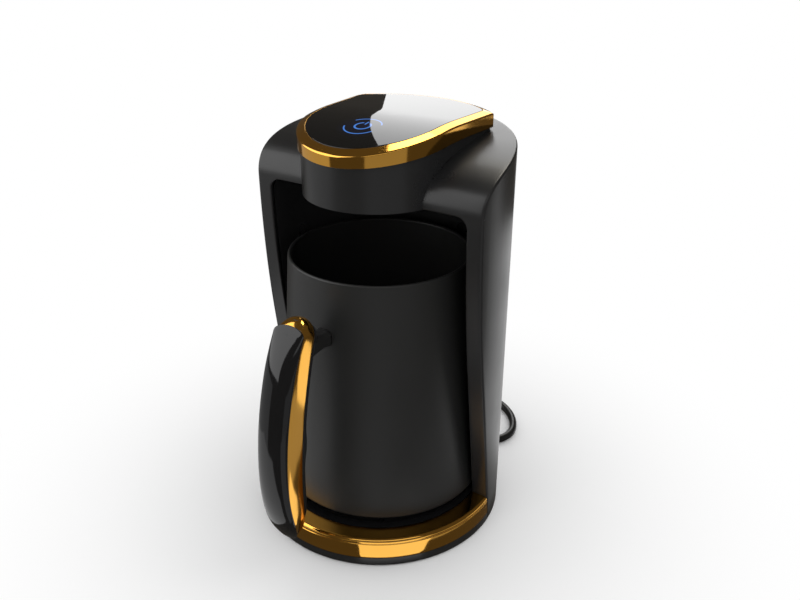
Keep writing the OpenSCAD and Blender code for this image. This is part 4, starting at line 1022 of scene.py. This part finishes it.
def make_screws(mat):
    """Four pan-head screws with lobed sockets, set on a ring in the underside."""
    a = turn_angles(36)

    def ring(r, z, lobe=0.0):
        q = r + lobe * np.cos(6 * a)
        return np.stack([q * np.cos(a), q * np.sin(a), np.full(36, z)], 1)
    rows = [ring(0.9, 0.95, 0.12), ring(1.15, 0.85, 0.16), ring(1.2, 0.14, 0.16), ring(1.35, 0.1),
            ring(2.1, 0.12), ring(2.6, 0.3), ring(2.78, 0.62), ring(2.78, 1.2), ring(2.6, 1.38),
            ring(1.5, 1.4)]
    for z in np.arange(1.6, 8.6, 0.35):
        rows += [ring(1.28, z), ring(1.48, z + 0.17)]
    rows += [ring(1.1, 9.1), ring(0.5, 9.35)]
    one = put("one_screw", *skin(rows, cap=True, flip=True), mat, body=None, crease=30)
    tree, inputs, out = node_tree("screws_on_a_ring", [
        ("Screw", "NodeSocketObject", None), ("Ring Radius", "NodeSocketFloat", 0.051),
        ("Count", "NodeSocketInt", 4), ("Height", "NodeSocketFloat", 0.001)])
    circle = add(tree, "GeometryNodeMeshCircle",
                 {"Vertices": inputs["Count"], "Radius": inputs["Ring Radius"]})
    lift = add(tree, "ShaderNodeCombineXYZ", {"Z": inputs["Height"]})
    turn = add(tree, "GeometryNodeTransform", {"Geometry": circle, "Translation": lift,
                                               "Rotation": (0, 0, math.radians(45))})
    screw = add(tree, "GeometryNodeObjectInfo", {"Object": inputs["Screw"]}).outputs["Geometry"]
    many = add(tree, "GeometryNodeInstanceOnPoints", {"Points": turn, "Instance": screw})
    finish_tree(tree, out, many, mat)
    obj = run_tree("underside_screws", tree, mat, "machine", Screw=one)
    bpy.data.objects.remove(one)
    return obj


def make_ribs(mat):
    """Collars along the strain relief, each a little smaller than the last."""
    tree, inputs, out = node_tree("collars_on_a_line", [
        ("Count", "NodeSocketInt", 6), ("Pitch", "NodeSocketFloat", 0.003),
        ("Radius", "NodeSocketFloat", 0.0041), ("Bead", "NodeSocketFloat", 0.0007),
        ("Taper", "NodeSocketFloat", 0.04)])
    step = add(tree, "ShaderNodeCombineXYZ", {"Y": inputs["Pitch"]})
    line = add(tree, "GeometryNodeMeshLine", {"Count": inputs["Count"], "Offset": step,
                                              "Start Location": (0, 0.0762, 0.012)})
    ring, bead = (add(tree, "GeometryNodeCurvePrimitiveCircle",
                      {"Resolution": steps, "Radius": inputs[label]})
                  for steps, label in ((40, "Radius"), (10, "Bead")))
    collar = add(tree, "GeometryNodeCurveToMesh", {"Curve": ring, "Profile Curve": bead})
    index = add(tree, "GeometryNodeInputIndex")
    loss = add(tree, "ShaderNodeMath", {0: index, 1: inputs["Taper"]}, operation="MULTIPLY")
    size = add(tree, "ShaderNodeMath", {0: 1.0, 1: loss}, operation="SUBTRACT")
    many = add(tree, "GeometryNodeInstanceOnPoints", {
        "Points": line, "Instance": collar, "Rotation": (math.radians(90), 0, 0), "Scale": size})
    finish_tree(tree, out, many, mat)
    obj = run_tree("strain_relief_collars", tree, mat, "machine")
    obj.data.polygons.foreach_set("use_smooth", [True] * len(obj.data.polygons))
    return obj


# ---------- studio ----------
def card(name, verts, faces, strength, colour):
    """A glowing studio card that shows in polished surfaces only: it is dark for every ray that
    has left a matt surface, so it lights nothing."""
    mat, tree = bare_material(name)
    depth = add(tree, "ShaderNodeLightPath").outputs["Diffuse Depth"]
    mirrored = add(tree, "ShaderNodeMath", {0: depth, 1: 0.5}, operation="LESS_THAN")
    power = add(tree, "ShaderNodeMath", {0: mirrored, 1: strength}, operation="MULTIPLY")
    glow = add(tree, "ShaderNodeEmission", {"Color": lin(colour), "Strength": power})
    add(tree, "ShaderNodeOutputMaterial", {0: glow})
    obj = add_object(name, new_mesh(name, verts, faces, mat))
    obj.visible_camera = obj.visible_diffuse = obj.visible_shadow = False
    obj.visible_transmission = obj.visible_volume_scatter = False


def flat_card(name, corners, strength, colour="#ffffff"):
    card(name, corners, [tuple(range(len(corners)))], strength, colour)


def sky_point(bearing, height, radius, eye):
    """The point that the object's axis sees from height eye at a bearing, from +Y towards +X, and
    a height above the horizon, both in degrees."""
    b, h = math.radians(bearing), math.radians(height)
    return (radius * math.sin(b) * math.cos(h), radius * math.cos(b) * math.cos(h),
            eye + radius * math.sin(h))


def sky_card(name, bearings, low, high, strength, radius=2500.0, eye=100.0, colour="#ffffff"):
    """A curved card between two bearings and two heights in degrees."""
    n = max(2, int(abs(bearings[1] - bearings[0]) / 6))
    m = max(2, int((high - low) / 6))
    verts = [sky_point(b, h, radius, eye) for h in np.linspace(low, high, m + 1)
             for b in np.linspace(*bearings, n + 1)]
    card(name, verts, grid_faces(m + 1, n + 1), strength, colour)


def floor_card(name, corners, strength, depth=2.0):
    """A level card just under the floor, for polished surfaces, which don't see the floor."""
    flat_card(name, [(x, y, -depth) for x, y in corners], strength)


def make_studio():
    scene.view_settings.view_transform = "Standard"
    world = bpy.data.worlds.new("studio")
    scene.world = world
    world.use_nodes = True
    tree = world.node_tree
    tree.nodes.clear()
    white = add(tree, "ShaderNodeBackground", {"Color": (1, 1, 1, 1), "Strength": 1.0})
    add(tree, "ShaderNodeOutputWorld", {0: white})

    verts = [(0, 0, 0)] + [(r * math.cos(t), r * math.sin(t), 0) for r in (400, 8000)
                           for t in turn_angles(64)]
    faces = [(0, 1 + i, 1 + (i + 1) % 64) for i in range(64)]
    faces += [(1 + i, 65 + i, 65 + (i + 1) % 64, 1 + (i + 1) % 64) for i in range(64)]
    floor = add_object("floor", new_mesh("floor", verts, faces, studio_floor()))
    floor.visible_glossy = False

    # dark drapes all round, but for the white sweep low behind the object
    dark = "#504c46"
    sky_card("drape_upper", (-180, 180), -9, 90, 1.0, colour=dark)
    sky_card("drape_lower", (38, 315), -90, -9, 0.85, colour=dark)
    sky_card("drape_near_floor", (-45, 38), -90, -37, 0.85, colour=dark)
    # soft box behind and above the object, whose slanting end crosses the touch glass
    box = [(-528, 406), (-600, 250), (-120, 250), (-120, 1154), (-780, 1154)]
    flat_card("rear_soft_box", [(x, 800, z) for x, z in box], 2.6)
    # overhead panel behind, seen by the right side of the gold ring
    outline = [(-58, 75), (-47, 67), (-36, 58), (-32, 46), (-5, 40), (0, 60), (0, 78)]
    flat_card("overhead_panel", [sky_point(b, h, 1500, 224) for b, h in outline], 5.5, "#fff8e8")
    # left soft box, seen by the top of the handle's cover
    sky_card("left_soft_box", (-95, -160), 0, 56, 1.9, 900, 130)
    # high panel in front, seen by the shoulders
    sky_card("front_high_panel", (175, 110), 24, 52, 0.8, 2000)
    # bands that the ring's front shows, and the dark one that its right end shows
    sky_card("ring_band_left", (-82, -145), -34, -8, 0.42, 1200, 212)
    sky_card("ring_band_right", (163, 104), -26, -8, 0.30, 1200, 212)
    sky_card("ring_band_rear", (0, 40), -24, -8, 1.0, 300, 212, dark)
    # bright sheet in front, seen by the lip
    near = [(76 * math.sin(t), 76 * math.cos(t)) for t in np.radians(np.linspace(156, 127, 9))]
    floor_card("lip_sheet", near + [(95, -38.5), (71, -72), (35, -97)], 1.1, 1.8)
    # pale sheets beside the body, seen by the side of the handle's hoop
    inner = [(87 * math.cos(t), 87 * math.sin(t)) for t in np.radians(np.linspace(-55, 10, 14))]
    outer = [(118, 40), (160, 30), (210, 30), (205, -18), (125, -44), (82, -70)]
    floor_card("side_sheet", inner + outer, 0.36)
    bright = [(92, 115), (118, 40), (160, 30), (300, 70), (300, 112), (170, 112), (170, 200),
              (92, 200)]
    floor_card("side_sheet_bright", bright, 1.1, 1.9)
    # dim sheet in front, seen by the middle of the pot
    floor_card("front_sheet", [(15, -112), (72, -96), (200, -215), (180, -350), (60, -350)], 0.38)
    # sheet at the left, seen by the left flank of the handle's cover
    left = [(0, -116), (-16, -104), (-60, -58), (-100, -25), (-190, -25), (-210, -120),
            (-200, -240), (-60, -240), (0, -150)]
    floor_card("left_sheet", left, 0.75)


# ---------- the object ----------
def dress(mats):
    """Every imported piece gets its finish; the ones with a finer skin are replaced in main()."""
    for row in frame["record"]["subparts"]:
        obj = frame["nodes"][row["node"]]
        for i in range(len(obj.data.materials)):
            obj.data.materials[i] = mats[row["material_slot"]]


def main():
    make_camera()
    mats = make_materials()
    dress(mats)
    lead, path, length = make_lead(mats["cable"])
    made = [(lead, "cable", ["power_cord", "cord_coil", "cord_tail"])]
    for make, slot, *nodes in (
            (make_shell, "housing", "outer_shell"), (make_ring, "gold", "panel_trim"),
            (make_glass, "panel_glass", "touch_panel"), (make_lip, "gold", "base_trim"),
            (make_pot, "pot_metal", "pot_body"), (make_hoop, "gold", "handle_trim"),
            (make_cover, "gloss_black", "handle_cover"), (make_grip, "housing", "handle_grip"),
            (make_bracket, "housing", "handle_bracket"), (make_gland, "soft_black", "cord_gland"),
            (make_ribs, "soft_black"), (make_plug, "gloss_black", "plug_body"),
            (make_pins, "pin_metal", "plug_pins"), (make_tie, "soft_black", "cord_tie"),
            (make_screws, "screw_steel", "bottom_screws")):
        # the bracket is sprayed with the pot
        finish = "pot_metal" if make is make_bracket else slot
        made.append((make(mats[finish]), slot, nodes))
    for obj, slot, nodes in made:
        if nodes:
            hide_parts(*nodes)
    make_studio()


main()
